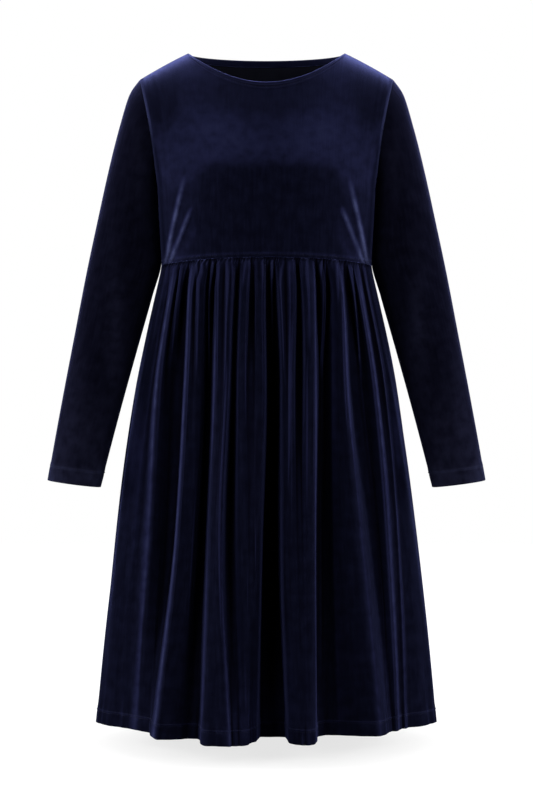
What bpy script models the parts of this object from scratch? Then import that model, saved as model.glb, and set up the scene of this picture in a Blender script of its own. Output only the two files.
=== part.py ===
"""Long-sleeved velvet dress with a scoop neck, a high waist seam and a gathered A-line skirt.

The dress hangs in its worn, hollow form.  Metres, +Z up, the front faces -Y and the wearer's
left is +X.  The origin is where the wearer's shoulders hold it: midway between the two points
where the shoulder seams meet the neckline.
"""

from dataclasses import dataclass

import bpy
import numpy as np

# ---------------------------------------------------------------- driving dimensions (metres)
CLOTH = 0.0012  # thickness of the velvet jersey
SEAM_GAP = 0.0004  # clear space between two panels at a seam
SHOULDER_GAP = 0.0010  # the same at the shoulder seam, measured on the outer face
SHOULDER_GAP_GROWTH = 8  # exponent: the side seam's gap turns into it close to the ridge
HEM_SEAM_GAP = 0.0012  # the same at the foot of a skirt side seam, where the cloth lies double
ARMHOLE_GAP = 0.0009  # clear space between the bodice and a sleeve head
LINING_GAP = 0.0013  # clear space between a panel and the neck hem turned under it

NECK_HALF_WIDTH = 0.118  # centre to shoulder-neck point
FRONT_NECK_DROP = 0.054  # scoop below the shoulder-neck points
BACK_NECK_DROP = 0.001  # the same at the back
NECK_CURVE = 0.82  # lower is a fuller scoop
NECK_HEM = 0.0095  # width of the turned neck edge

SHOULDER_X = 0.190  # shoulder tip, top of the armhole
SHOULDER_Z = -0.0395
SHOULDER_SLOPE = 0.48
SHOULDER_ROUNDING = 0.95
UNDERARM_X = 0.163  # foot of the armhole
UNDERARM_Z = -0.205
ARMHOLE_HOLLOW = 0.0045  # how far the armhole seam curves in toward the neck
ARMHOLE_DEPTH = 0.055  # half of the armhole, front to back
ARMHOLE_STEPS = 10  # facets from shoulder tip to underarm, on each side

WAIST_HALF_WIDTH = 0.157
WAIST_SIDE_Z = -0.3195
WAIST_RISE = 0.0065  # the waist seam is this much higher at the centre
WAIST_FRONT_DEPTH = 0.115
WAIST_BACK_DEPTH = 0.100
WAIST_SQUARENESS = 2.4  # exponent of the waist outline: 2 is an ellipse

HEM_Z = -1.000
SKIRT_HEM = 0.020  # width of the turned hem
CUFF_HEM = 0.022
HEM_STEP = 0.0003  # rise of the ledge where a turned hem ends

FRONT_GATHERS = 28
BACK_GATHERS = 26
GATHER_HEIGHT = 0.0021  # half the height of a gather, seam to ridge
GATHER_START = 0.3  # share of its height that a gather has at the seam
GATHER_GROWTH = 0.012  # drop below the seam where it has its whole height
GATHER_LENGTH = 0.055  # typical length over which it then fades out
GATHER_LENGTH_RANGE = (0.35, 1.9)  # shortest and longest, as shares of that
GATHER_FADE = 1.4  # exponent of the fading
GATHER_SHIFT = 0.22  # unevenness of their spacing, in gathers
GATHER_SIDE_FADE = 1.5  # gathers over which they die out beside a side seam
GATHER_SEED = 11
FOLD_ONSET = 0.060  # drop below the seam where the folds stand out fully
WAIST_SHARE = 0.7  # cloth columns run by the seam's length in this share, else by the hem's

VELVET_NAVY = (0.012, 0.014, 0.060, 1.0)
VELVET_ROUGHNESS = 0.85


# ---------------------------------------------------------------- tables with named columns
@dataclass(frozen=True)
class BodiceLevel:
    """One height of the bodice: depth factors of the rounded front and back."""

    z: float
    front: float
    back: float
    squareness: float  # exponent of the plan outline


BODICE_LEVELS = (
    BodiceLevel(WAIST_SIDE_Z, WAIST_FRONT_DEPTH, WAIST_BACK_DEPTH, WAIST_SQUARENESS),
    BodiceLevel(-0.260, 0.1255, 0.1075, 2.6),
    BodiceLevel(-0.220, 0.1330, 0.1150, 2.7),
    BodiceLevel(-0.190, 0.1388, 0.1205, 2.6),
    BodiceLevel(-0.172, 0.1402, 0.1245, 2.5),
    BodiceLevel(-0.150, 0.1372, 0.1285, 2.35),
    BodiceLevel(-0.100, 0.1268, 0.1335, 2.2),
    BodiceLevel(-0.050, 0.1185, 0.1330, 2.2),
    BodiceLevel(0.030, 0.1165, 0.1330, 2.2),
)


@dataclass(frozen=True)
class SleeveRing:
    """One cross-section of a sleeve, from the outer arm line to the inner one."""

    outer_x: float
    outer_z: float
    inner_x: float
    inner_z: float
    half_depth: float
    forward: float  # how far the ring's centre lies in front of the shoulder


SLEEVE_RINGS = (
    SleeveRing(SHOULDER_X, SHOULDER_Z, UNDERARM_X, UNDERARM_Z, ARMHOLE_DEPTH, 0.000),
    SleeveRing(0.2042, -0.0600, 0.1638, -0.2140, 0.0580, 0.000),
    SleeveRing(0.2211, -0.1140, 0.1628, -0.2400, 0.0600, 0.000),
    SleeveRing(0.2376, -0.1800, 0.1608, -0.2750, 0.0595, 0.000),
    SleeveRing(0.2528, -0.2500, 0.1590, -0.3120, 0.0570, 0.002),
    SleeveRing(0.2694, -0.3300, 0.1712, -0.3650, 0.0530, 0.006),
    SleeveRing(0.2861, -0.4200, 0.1928, -0.4430, 0.0480, 0.012),
    SleeveRing(0.3026, -0.5100, 0.2164, -0.5300, 0.0430, 0.019),
    SleeveRing(0.3148, -0.5800, 0.2336, -0.5970, 0.0375, 0.026),
    SleeveRing(0.3246, -0.6380, 0.2466, -0.6485, 0.0335, 0.030),
)


@dataclass(frozen=True)
class SkirtLevel:
    """Half width of the skirt at one height, side seam to centre."""

    z: float
    half_width: float


SKIRT_LEVELS = (
    SkirtLevel(WAIST_SIDE_Z, WAIST_HALF_WIDTH),
    SkirtLevel(-0.339, 0.1615),
    SkirtLevel(-0.370, 0.1688),
    SkirtLevel(-0.430, 0.1820),
    SkirtLevel(-0.500, 0.1955),
    SkirtLevel(-0.610, 0.2122),
    SkirtLevel(-0.720, 0.2260),
    SkirtLevel(-0.860, 0.2414),
    SkirtLevel(HEM_Z, 0.2543),
)
FOLD_HIGH_Z = -0.370
FOLD_MID_Z = -0.500
FOLD_LOW_Z = -0.720


@dataclass(frozen=True)
class Fold:
    """One ridge or valley line of the skirt, from the waist seam to the hem, in millimetres.

    The x columns give its place across the skirt at four heights, and the depth columns how
    far it stands from the plane of the side seams at three.
    """

    x_high: float
    x_mid: float
    x_low: float
    x_hem: float
    depth_mid: float
    depth_low: float
    depth_hem: float


FRONT_FOLDS = (
    Fold(-169.5, -195.5, -226.0, -254.3, 0, 0, 0),  # side seam
    Fold(-168.0, -193.5, -223.5, -252.6, 17, 15, 14),
    Fold(-162.0, -187.0, -216.0, -239.0, 38, 37, 39),
    Fold(-142.5, -161.5, -180.0, -184.0, 79, 90, 92),  # side crease
    Fold(-130.0, -143.0, -155.0, -173.0, 78, 88, 112),
    Fold(-115.5, -120.0, -130.5, -157.0, 110, 137, 168),  # first flute
    Fold(-97.7, -98.6, -101.0, -114.0, 113, 136, 162),
    Fold(-86.1, -89.0, -93.0, -101.0, 95, 112, 156),
    Fold(-74.1, -76.6, -83.0, -90.0, 132, 164, 214),  # second flute
    Fold(-53.8, -53.8, -62.0, -62.0, 138, 176, 224),
    Fold(-43.9, -46.7, -52.0, -48.0, 116, 158, 220),
    Fold(-36.6, -37.9, -35.0, -33.0, 138, 176, 214),  # third flute
    Fold(-4.0, -3.0, -8.0, -11.0, 140, 170, 182),
    Fold(3.0, 3.5, 1.5, 3.0, 112, 124, 143),  # centre valley
    Fold(12.0, 14.5, 15.5, 17.0, 110, 122, 142),
    Fold(19.4, 22.3, 22.5, 28.0, 136, 162, 172),  # fourth flute
    Fold(40.0, 38.0, 36.0, 39.0, 140, 174, 212),
    Fold(46.9, 46.9, 46.0, 50.0, 127, 168, 210),
    Fold(53.9, 56.7, 54.5, 57.0, 139, 175, 216),
    Fold(71.1, 71.0, 70.5, 69.5, 137, 170, 200),
    Fold(82.5, 79.5, 79.5, 77.0, 100, 112, 140),
    Fold(89.0, 86.0, 86.0, 88.0, 98, 110, 128),
    Fold(97.6, 95.0, 95.0, 99.0, 110, 122, 128),  # fifth flute
    Fold(107.0, 108.0, 119.0, 137.0, 113, 128, 144),
    Fold(114.0, 121.0, 143.5, 171.0, 107, 123, 137),
    Fold(127.7, 142.2, 158.0, 184.0, 80, 92, 116),
    Fold(143.0, 164.6, 180.5, 196.0, 77, 90, 92),  # side crease
    Fold(162.0, 187.0, 216.0, 240.0, 38, 36, 36),
    Fold(168.0, 193.5, 223.5, 252.6, 17, 15, 13),
    Fold(169.5, 195.5, 226.0, 254.3, 0, 0, 0),  # side seam
)

BACK_FOLDS = (
    Fold(-169.5, -195.5, -226.0, -254.3, 0, 0, 0),  # side seam
    Fold(-168.0, -193.5, -223.5, -252.0, 16, 15, 15),
    Fold(-161.0, -186.0, -215.0, -240.0, 34, 35, 35),
    Fold(-141.0, -160.0, -182.0, -194.0, 66, 82, 92),  # side crease
    Fold(-128.0, -144.0, -162.0, -176.0, 66, 76, 94),
    Fold(-117.0, -126.0, -142.0, -161.0, 92, 114, 136),  # first flute
    Fold(-96.0, -100.0, -108.0, -118.0, 99, 126, 150),
    Fold(-86.0, -89.0, -95.0, -104.0, 86, 104, 128),
    Fold(-75.0, -79.0, -85.0, -94.0, 112, 146, 178),  # second flute
    Fold(-52.0, -50.0, -50.0, -51.0, 121, 160, 194),
    Fold(-42.0, -40.0, -37.0, -36.0, 103, 124, 150),
    Fold(-30.0, -29.0, -25.0, -20.0, 121, 152, 180),  # third flute
    Fold(-6.0, -4.0, 4.0, 14.0, 124, 158, 184),
    Fold(2.0, 4.0, 12.0, 24.0, 112, 140, 172),
    Fold(10.0, 13.0, 20.0, 33.0, 122, 154, 182),  # fourth flute
    Fold(32.0, 36.0, 46.0, 60.0, 123, 156, 188),
    Fold(44.0, 49.0, 59.0, 72.0, 100, 112, 130),
    Fold(52.0, 58.0, 68.0, 82.0, 98, 108, 124),
    Fold(61.0, 67.0, 78.0, 94.0, 116, 140, 164),  # fifth flute
    Fold(86.0, 94.0, 106.0, 124.0, 108, 136, 158),
    Fold(97.0, 107.0, 121.0, 140.0, 90, 104, 128),
    Fold(109.0, 121.0, 140.0, 160.0, 92, 114, 134),  # sixth flute
    Fold(124.0, 139.0, 160.0, 178.0, 74, 86, 104),
    Fold(142.0, 162.0, 184.0, 202.0, 64, 78, 82),  # side crease
    Fold(161.0, 186.0, 215.0, 240.0, 34, 35, 35),
    Fold(168.0, 193.5, 223.5, 252.0, 16, 15, 15),
    Fold(169.5, 195.5, 226.0, 254.3, 0, 0, 0),  # side seam
)


@dataclass(frozen=True)
class Crease:
    """One soft ridge pulled across the bodice, between two (across, height) places."""

    start_u: float
    start_w: float
    end_u: float
    end_w: float
    height: float
    half_width: float

    def height_at(self, u, w):
        """Height of this ridge at (u, w) on either half of the panel."""
        run_u = (self.end_u - self.start_u) * SHOULDER_X
        run_w = (self.end_w - self.start_w) * EDGE_HEIGHT
        length = np.hypot(run_u, run_w)
        across = (np.abs(u) - self.start_u) * SHOULDER_X
        up = (w - self.start_w) * EDGE_HEIGHT
        along = (across * run_u + up * run_w) / length**2
        aside = (across * run_w - up * run_u) / length
        begins = np.clip(along / CREASE_ONSET, 0.0, 1.0)
        ends = np.clip((1 + CREASE_OVERRUN - along) / CREASE_RUN_OUT, 0.0, 1.0)
        return self.height * begins * ends * np.exp(-((aside / self.half_width) ** 2))


BODICE_CREASES = (
    Crease(0.740, 0.36, 0.935, 0.02, 0.0030, 0.0065),
    Crease(0.675, 0.27, 0.860, 0.02, 0.0020, 0.0060),
)
CREASE_ONSET = 0.25  # share of its length over which a crease rises
CREASE_RUN_OUT = 0.12  # share over which it sinks again
CREASE_OVERRUN = 0.08  # how far past its end it has sunk

# ---------------------------------------------------------------- how finely the solids are cut
NECK_COLUMNS = 14
SHOULDER_COLUMNS = 8
SIDE_ROWS = 4  # rows of the bodice between waist and underarm
SKIRT_COLUMNS = 106
SKIRT_DROPS = (0.0, 0.010, 0.025, 0.048, 0.085, 0.14, 0.22, 0.34, 0.48, 0.60)
HEAD_ROWS = 2  # rows of SLEEVE_RINGS over which the armhole's own shape fades
SLEEVE_PLACES = (0.0, 0.5, 1.0, 1.8, 2.6, 3.4, 4.2, 5.0, 6.0, 7.0, 8.0)


def smooth(places, values, at):
    """Monotone cubic through a table's rows: rounded, and never past its neighbours."""
    places = np.asarray(places, dtype=float)
    values = np.asarray(values, dtype=float)
    at = np.asarray(at, dtype=float)
    run = np.diff(places)
    slope = np.diff(values) / run
    tangent = np.empty(len(places))
    tangent[0] = slope[0]
    tangent[-1] = slope[-1]
    same_way = slope[:-1] * slope[1:] > 0
    safe_sum = np.where(same_way, slope[:-1] + slope[1:], 1.0)
    tangent[1:-1] = np.where(same_way, 2 * slope[:-1] * slope[1:] / safe_sum, 0.0)
    index = np.clip(np.searchsorted(places, at, side="right") - 1, 0, len(run) - 1)
    t = (at - places[index]) / run[index]
    rise = values[index + 1] - values[index]
    first = tangent[index] * run[index]
    last = tangent[index + 1] * run[index]
    return values[index] + t * (first + t * (3 * rise - 2 * first - last + t * (first + last - 2 * rise)))


def column(rows, name):
    """One named column of a table."""
    return np.array([getattr(row, name) for row in rows], dtype=float)


def superellipse(offset, squareness):
    """Depth of a unit superellipse at a sideways offset of 0 to 1."""
    return np.maximum(0.0, 1 - np.abs(offset) ** squareness) ** (1 / squareness)


# ---------------------------------------------------------------- bodice surface
ARMHOLE_MIDDLE_Z = (SHOULDER_Z + UNDERARM_Z) / 2
ARMHOLE_HALF_HEIGHT = (SHOULDER_Z - UNDERARM_Z) / 2
EDGE_HEIGHT = SHOULDER_Z - WAIST_SIDE_Z
NECK_U = NECK_HALF_WIDTH / SHOULDER_X
NECK_RISE = SHOULDER_SLOPE * NECK_HALF_WIDTH / 2  # the uncut surface goes on up over the neck


def armhole(turn):
    """Outer edge of the right-hand armhole: angle 0 is the shoulder tip, pi the underarm."""
    middle_x = (SHOULDER_X + UNDERARM_X) / 2
    half_x = (SHOULDER_X - UNDERARM_X) / 2
    x = middle_x + half_x * np.cos(turn) - ARMHOLE_HOLLOW * np.sin(turn) ** 2
    depth = ARMHOLE_DEPTH * np.sin(turn)
    z = ARMHOLE_MIDDLE_Z + ARMHOLE_HALF_HEIGHT * np.cos(turn)
    return x, depth, z


def bodice_edge(w):
    """Half width and edge depth of the bodice at height w: side seam below, armhole above."""
    z = WAIST_SIDE_Z + w * EDGE_HEIGHT
    cosine = np.clip((z - ARMHOLE_MIDDLE_Z) / ARMHOLE_HALF_HEIGHT, -1.0, 1.0)
    armhole_x, armhole_depth, _ = armhole(np.arccos(cosine))
    side = np.clip((z - WAIST_SIDE_Z) / (UNDERARM_Z - WAIST_SIDE_Z), 0.0, 1.0)
    side_x = WAIST_HALF_WIDTH + (UNDERARM_X - WAIST_HALF_WIDTH) * side
    above = z > UNDERARM_Z
    return np.where(above, armhole_x, side_x), np.where(above, armhole_depth, 0.0)


def ridge_z(u):
    """Height of the shoulder ridge at offset u, and of the surface it would have at the neck."""
    beyond = np.maximum(0.0, np.abs(u) * SHOULDER_X - NECK_HALF_WIDTH)
    inside = np.maximum(0.0, 1 - (u / NECK_U) ** 2)
    return NECK_RISE * inside - SHOULDER_SLOPE * beyond - SHOULDER_ROUNDING * beyond**2


def waist_z(u):
    """Height of the waist seam at offset u."""
    return WAIST_SIDE_Z + WAIST_RISE * (1 - np.abs(u) ** 2)


def neckline(s, let_out, is_back):
    """Place (u, w) on the neckline at s of -1 to 1, let out into the panel by a width."""
    u = s * (NECK_U + let_out / SHOULDER_X)
    corner_z = ridge_z(NECK_U + let_out / SHOULDER_X)
    drop = BACK_NECK_DROP if is_back else FRONT_NECK_DROP
    fall = drop + let_out + corner_z
    z = corner_z - fall * np.maximum(0.0, 1 - s**2) ** NECK_CURVE
    w = (z - waist_z(u)) / (ridge_z(u) - waist_z(u))
    return u, np.minimum(w, 1.0)


def bodice_point(u, w, is_back):
    """Point of the bodice's outer face: u of -1 to 1 across, w of 0 to 1 up."""
    edge_x, edge_depth = bodice_edge(w)
    z = waist_z(u) + w * (ridge_z(u) - waist_z(u))
    heights = column(BODICE_LEVELS, "z")
    factor = smooth(heights, column(BODICE_LEVELS, "back" if is_back else "front"), z)
    squareness = smooth(heights, column(BODICE_LEVELS, "squareness"), z)
    centre_depth = factor * np.sqrt(np.maximum(1e-12, 1 - w**2))
    reach = superellipse(np.minimum(0.999, edge_depth / centre_depth), squareness)
    depth = centre_depth * superellipse(reach * np.abs(u), squareness)
    if not is_back:
        depth = depth + sum(crease.height_at(u, w) for crease in BODICE_CREASES)
    x = u * edge_x
    gap = SEAM_GAP + (SHOULDER_GAP - SEAM_GAP) * w**SHOULDER_GAP_GROWTH
    y = (depth + gap / 2) * (1 if is_back else -1)
    return np.stack(np.broadcast_arrays(x, y, z), axis=-1)


def bodice_columns():
    """Offsets across the bodice, closest at the neck corners and at the sides."""
    neck = NECK_U * np.sin(np.linspace(-np.pi / 2, np.pi / 2, NECK_COLUMNS + 1))
    side = NECK_U + (1 - NECK_U) * np.sin(np.linspace(0, np.pi / 2, SHOULDER_COLUMNS + 1))[1:]
    return np.concatenate([-side[::-1], neck, side])


def bodice_rows():
    """Heights up the bodice's edge, so that each armhole row meets a sleeve vertex."""
    side = np.linspace(WAIST_SIDE_Z + SEAM_GAP / 2, UNDERARM_Z, SIDE_ROWS + 1)[:-1]
    turns = np.linspace(np.pi, 0, ARMHOLE_STEPS + 1)
    rows = np.concatenate([side, armhole(turns)[2]])
    return (rows - WAIST_SIDE_Z) / EDGE_HEIGHT


def bodice_heights(is_back):
    """Height w of each row of a bodice panel at each column, lowered to the neckline."""
    u = bodice_columns()
    _, top = neckline(np.clip(u / NECK_U, -1, 1), 0.0, is_back)
    top = np.where(np.abs(u) < NECK_U, top, 1.0)
    rows = bodice_rows()[:, None]
    return rows - (1 - top) * rows**3


def bodice_grid(is_back):
    """Rows of outer-face points of one bodice panel."""
    heights = bodice_heights(is_back)
    return bodice_point(np.broadcast_to(bodice_columns(), heights.shape), heights, is_back)


def between(points, place):
    """Point at a fractional place along a list of points."""
    index = int(np.clip(np.floor(place), 0, len(points) - 2))
    return points[index] + (points[index + 1] - points[index]) * (place - index)


def on_bodice(grid, heights, u, w):
    """Point on a bodice panel's facets at (u, w)."""
    columns = bodice_columns()
    index = np.arange(len(columns))
    place = np.interp(u, columns, index)
    left = int(np.clip(np.floor(place), 0, len(columns) - 2))
    rows = np.arange(len(heights))
    ends = [between(grid[:, c], np.interp(w, heights[:, c], rows)) for c in (left, left + 1)]
    return ends[0] + (ends[1] - ends[0]) * (place - left)


# ---------------------------------------------------------------- sleeves
def sleeve_ring(place):
    """Outer-face points of the +X sleeve at a place counted in rows of SLEEVE_RINGS."""
    index = np.arange(len(SLEEVE_RINGS))
    names = ("outer_x", "outer_z", "inner_x", "inner_z", "half_depth", "forward")
    outer_x, outer_z, inner_x, inner_z, half_depth, forward = (
        smooth(index, column(SLEEVE_RINGS, name), place) for name in names
    )
    turn = np.linspace(0, 2 * np.pi, 2 * ARMHOLE_STEPS, endpoint=False)
    head = max(0.0, 1 - place / HEAD_ROWS)
    x = (outer_x + inner_x) / 2 + (outer_x - inner_x) / 2 * np.cos(turn)
    x = x + head * (ARMHOLE_GAP - ARMHOLE_HOLLOW * np.sin(turn) ** 2)
    y = -forward - half_depth * np.sin(turn)
    z = (outer_z + inner_z) / 2 + (outer_z - inner_z) / 2 * np.cos(turn)
    return np.stack([x, y, z], axis=-1)


def sleeve_grid(sign):
    """Rings of one sleeve, shoulder to cuff, with a ledge where the cuff hem ends."""
    last = len(SLEEVE_RINGS) - 1
    final_run = SLEEVE_RINGS[-2].outer_z - SLEEVE_RINGS[-1].outer_z
    hem = last - CUFF_HEM / final_run
    ledge = hem - HEM_STEP / final_run
    places = [p for p in SLEEVE_PLACES if p < ledge] + [ledge, hem, last]
    rings = np.array([sleeve_ring(place) for place in places])
    rings[..., 0] *= sign
    return rings


# ---------------------------------------------------------------- skirt
def skirt_plan(x, half_width, is_back):
    """Depth of the unfolded skirt at the waist seam, at an offset x."""
    depth = WAIST_BACK_DEPTH if is_back else WAIST_FRONT_DEPTH
    return depth * superellipse(np.clip(x / half_width, -1, 1), WAIST_SQUARENESS)


class SkirtPanel:
    """The gathered front or back of the skirt, as a surface over (across, height)."""

    def __init__(self, folds, gathers, is_back):
        self.is_back = is_back
        self.gathers = gathers
        shrink = WAIST_HALF_WIDTH / (abs(folds[0].x_high) / 1000)
        high = column(folds, "x_high") / 1000
        self.x_levels = [high * shrink, high]
        self.x_levels += [column(folds, name) / 1000 for name in ("x_mid", "x_low", "x_hem")]
        self.x_heights = [WAIST_SIDE_Z, FOLD_HIGH_Z, FOLD_MID_Z, FOLD_LOW_Z, HEM_Z]
        waist_depth = skirt_plan(self.x_levels[0], WAIST_HALF_WIDTH, is_back)
        self.depth_levels = [waist_depth]
        self.depth_levels += [column(folds, name) / 1000 for name in ("depth_mid", "depth_low", "depth_hem")]
        self.depth_heights = [WAIST_SIDE_Z, FOLD_MID_Z, FOLD_LOW_Z, HEM_Z]
        waist_run = np.hypot(np.diff(self.x_levels[0]), np.diff(waist_depth))
        hem_run = np.hypot(np.diff(self.x_levels[-1]), np.diff(self.depth_levels[-1]))
        self.waist_share = np.concatenate([[0], np.cumsum(waist_run)]) / waist_run.sum()
        hem_share = np.concatenate([[0], np.cumsum(hem_run)]) / hem_run.sum()
        self.share = WAIST_SHARE * self.waist_share + (1 - WAIST_SHARE) * hem_share
        random = np.random.default_rng(GATHER_SEED + is_back)
        self.lengths = GATHER_LENGTH * random.uniform(*GATHER_LENGTH_RANGE, gathers + 1)
        self.shifts = random.uniform(-GATHER_SHIFT, GATHER_SHIFT, gathers + 1)

    def level(self, heights, levels, z):
        """Interpolate each fold line's value down to height z."""
        down = -np.asarray(heights)
        table = np.array(levels)
        return np.array([smooth(down, table[:, k], -z) for k in range(table.shape[1])])

    def gather(self, share, drop):
        """Height of the small gathers at a share of the waist seam and a drop below it."""
        waist = smooth(self.share, self.waist_share, share) * self.gathers
        index = np.arange(self.gathers + 1)
        length = smooth(index, self.lengths, waist)
        phase = waist + smooth(index, self.shifts, waist)
        start = GATHER_START + (1 - GATHER_START) * min(1.0, drop / GATHER_GROWTH)
        fade = np.exp(-((drop / length) ** GATHER_FADE))
        sides = np.clip(np.minimum(waist, self.gathers - waist) / GATHER_SIDE_FADE, 0.0, 1.0)
        return GATHER_HEIGHT * start * fade * sides * np.cos(2 * np.pi * phase)

    def row(self, share, drop_share, drop):
        """Points of one row at a share of the way down, drop_share, and a drop in metres."""
        seam = self.level(self.x_heights, self.x_levels, WAIST_SIDE_Z)
        top = waist_z(smooth(self.share, seam, share) / WAIST_HALF_WIDTH) - SEAM_GAP / 2
        z = top + (HEM_Z - top) * drop_share
        level_z = WAIST_SIDE_Z + (HEM_Z - WAIST_SIDE_Z) * drop_share
        x = smooth(self.share, self.level(self.x_heights, self.x_levels, level_z), share)
        folded = smooth(self.share, self.level(self.depth_heights, self.depth_levels, level_z), share)
        half_width = smooth(-column(SKIRT_LEVELS, "z"), column(SKIRT_LEVELS, "half_width"), -level_z)
        x = x * half_width / np.abs(x[0])
        plain = skirt_plan(x, half_width, self.is_back)
        mix = min(1.0, drop / FOLD_ONSET)
        depth = plain * (1 - mix) + folded * mix
        across = np.gradient(x)
        out = np.gradient(depth)
        scale = self.gather(share, drop) / np.hypot(across, out)
        x = x - out * scale
        gap = SEAM_GAP + (HEM_SEAM_GAP - SEAM_GAP) * drop_share
        y = (depth + across * scale + gap / 2) * (1 if self.is_back else -1)
        return np.stack([x, y, z], axis=-1)

    def grid(self):
        """Rows of outer-face points, waist seam to hem, with a ledge where the hem ends."""
        share = np.linspace(0, 1, SKIRT_COLUMNS)
        length = WAIST_SIDE_Z - HEM_Z
        drops = list(SKIRT_DROPS) + [length - SKIRT_HEM - HEM_STEP, length - SKIRT_HEM, length]
        return np.array([self.row(share, drop / length, drop) for drop in drops])


# ---------------------------------------------------------------- neck hem
def neck_hem_side(is_back):
    """Rows of points of the turned neck edge on one side, set in from the panel's inner face."""
    grid, heights = bodice_grid(is_back), bodice_heights(is_back)
    step = 1e-3
    rows = []
    for let_out in (HEM_STEP, NECK_HEM / 2, NECK_HEM):
        places = np.sin(np.linspace(-np.pi / 2, np.pi / 2, NECK_COLUMNS + 1))
        row = []
        for u, w in zip(*neckline(places, let_out, is_back)):
            point = on_bodice(grid, heights, u, w)
            across = on_bodice(grid, heights, u + step, w) - on_bodice(grid, heights, u - step, w)
            upward = point - on_bodice(grid, heights, u, w - step)
            normal = np.cross(across, upward) * (-1 if is_back else 1)
            row.append((point, normal / np.linalg.norm(normal)))
        for end in (0, -1):
            for vector in row[end]:
                vector[1] = 0.0
        rows.append([point - normal * (CLOTH + LINING_GAP) for point, normal in row])
    return np.array(rows)


def neck_hem_grid():
    """Closed rings of the turned neck edge: along the front, then back along the back."""
    front = neck_hem_side(False)
    back = neck_hem_side(True)
    return np.concatenate([front, back[:, -2:0:-1]], axis=1)


# ---------------------------------------------------------------- meshes and materials
def velvet(name):
    """Principled material of the navy velvet."""
    material = bpy.data.materials.new(name)
    material.use_nodes = True
    shader = material.node_tree.nodes["Principled BSDF"]
    shader.inputs["Base Color"].default_value = VELVET_NAVY
    shader.inputs["Roughness"].default_value = VELVET_ROUGHNESS
    shader.inputs["Metallic"].default_value = 0.0
    material.diffuse_color = VELVET_NAVY
    return material


def loft(name, grid, collection, closed=False, flip=False, hem_rows=()):
    """Loft a surface through rows of points and give it the cloth's thickness inward.

    hem_rows are the rows where the cloth is turned under and so lies double.
    """
    row_count, column_count = grid.shape[:2]
    faces = []
    for row in range(row_count - 1):
        for col in range(column_count if closed else column_count - 1):
            after = (col + 1) % column_count
            low, high = row * column_count, (row + 1) * column_count
            face = (low + col, low + after, high + after, high + col)
            faces.append(face[::-1] if flip else face)
    mesh = bpy.data.meshes.new(name)
    mesh.from_pydata(grid.reshape(-1, 3).tolist(), [], faces)
    mesh.shade_smooth()
    mesh.update()
    part = bpy.data.objects.new(name, mesh)
    collection.objects.link(part)
    mesh.materials.append(velvet(name + "_velvet"))
    thickness = part.modifiers.new("cloth thickness", "SOLIDIFY")
    thickness.offset = -1.0
    thickness.thickness = CLOTH
    if hem_rows:
        group = part.vertex_groups.new(name="turned hem")
        for row in hem_rows:
            first = (row % row_count) * column_count
            group.add(list(range(first, first + column_count)), 1.0, "REPLACE")
        thickness.thickness = 2 * CLOTH
        thickness.vertex_group = group.name
        thickness.thickness_vertex_group = 0.5
    return part


def build():
    """Model the whole dress."""
    for old in list(bpy.data.objects):
        bpy.data.objects.remove(old, do_unlink=True)
    dress = bpy.data.collections.new("velvet_dress")
    bpy.context.scene.collection.children.link(dress)
    loft("bodice_front", bodice_grid(False), dress)
    loft("bodice_back", bodice_grid(True), dress, flip=True)
    loft("neck_hem", neck_hem_grid(), dress, closed=True, flip=True)
    loft("sleeve_left", sleeve_grid(1), dress, closed=True, hem_rows=(-2, -1))
    loft("sleeve_right", sleeve_grid(-1), dress, closed=True, flip=True, hem_rows=(-2, -1))
    front = SkirtPanel(FRONT_FOLDS, FRONT_GATHERS, False)
    back = SkirtPanel(BACK_FOLDS, BACK_GATHERS, True)
    loft("skirt_front", front.grid(), dress, flip=True, hem_rows=(-2, -1))
    loft("skirt_back", back.grid(), dress, hem_rows=(-2, -1))


build()
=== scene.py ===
"""Looks of a long-sleeved velvet dress: its cloth, seams and stitching, and the studio around it.

Metres, +Z up.  The front faces -Y and the wearer's left is +X.  The origin lies midway between
the two points where the shoulder seams meet the neckline.
"""

from __future__ import annotations

import logging
from dataclasses import dataclass, field, replace
from enum import Enum
from functools import cached_property
from typing import Sequence

import bmesh
import bpy
import numpy as np
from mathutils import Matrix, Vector

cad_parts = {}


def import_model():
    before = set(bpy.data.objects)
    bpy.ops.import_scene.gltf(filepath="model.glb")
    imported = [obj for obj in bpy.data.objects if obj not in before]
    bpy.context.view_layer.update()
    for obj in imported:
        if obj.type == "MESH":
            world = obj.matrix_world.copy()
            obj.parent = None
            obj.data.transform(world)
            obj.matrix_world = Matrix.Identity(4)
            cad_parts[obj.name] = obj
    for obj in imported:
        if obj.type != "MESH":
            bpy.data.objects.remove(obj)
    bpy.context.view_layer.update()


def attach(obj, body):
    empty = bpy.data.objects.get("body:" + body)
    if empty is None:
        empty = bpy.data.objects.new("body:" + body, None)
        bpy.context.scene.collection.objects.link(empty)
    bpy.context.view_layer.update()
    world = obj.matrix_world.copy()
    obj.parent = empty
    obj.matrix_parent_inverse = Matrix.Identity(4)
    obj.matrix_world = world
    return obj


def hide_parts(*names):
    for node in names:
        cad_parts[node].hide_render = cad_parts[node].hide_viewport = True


LOG = logging.getLogger("velvet_dress")
BODY = "root"
CLOTH = 0.0009  # thickness of one layer of velvet jersey
SEAM_GAP = 0.0001  # clear space between two panels at a seam
SEAM_RADIUS = 0.0011  # round of the cloth where it turns in at a seam
SEAM_ALLOWANCE = 0.004  # how far it runs on inside
HEM_RADIUS = 0.0012  # round of the cloth where a hem is folded under
TWIN_GAP = 0.0034  # between the two rows of a twin-needle hem
STITCH_INSET = 0.0015  # between the raw edge inside such a hem and the nearer row
TURN_STEPS = 6  # rows that go round a turned edge's radius
RUN_ON_SHARES = (0.25, 0.6, 1.0)  # rows beyond it, as shares of the cloth that runs on
TURNED_ROWS = TURN_STEPS + len(RUN_ON_SHARES)  # rows that a turned edge adds to its cloth
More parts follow.
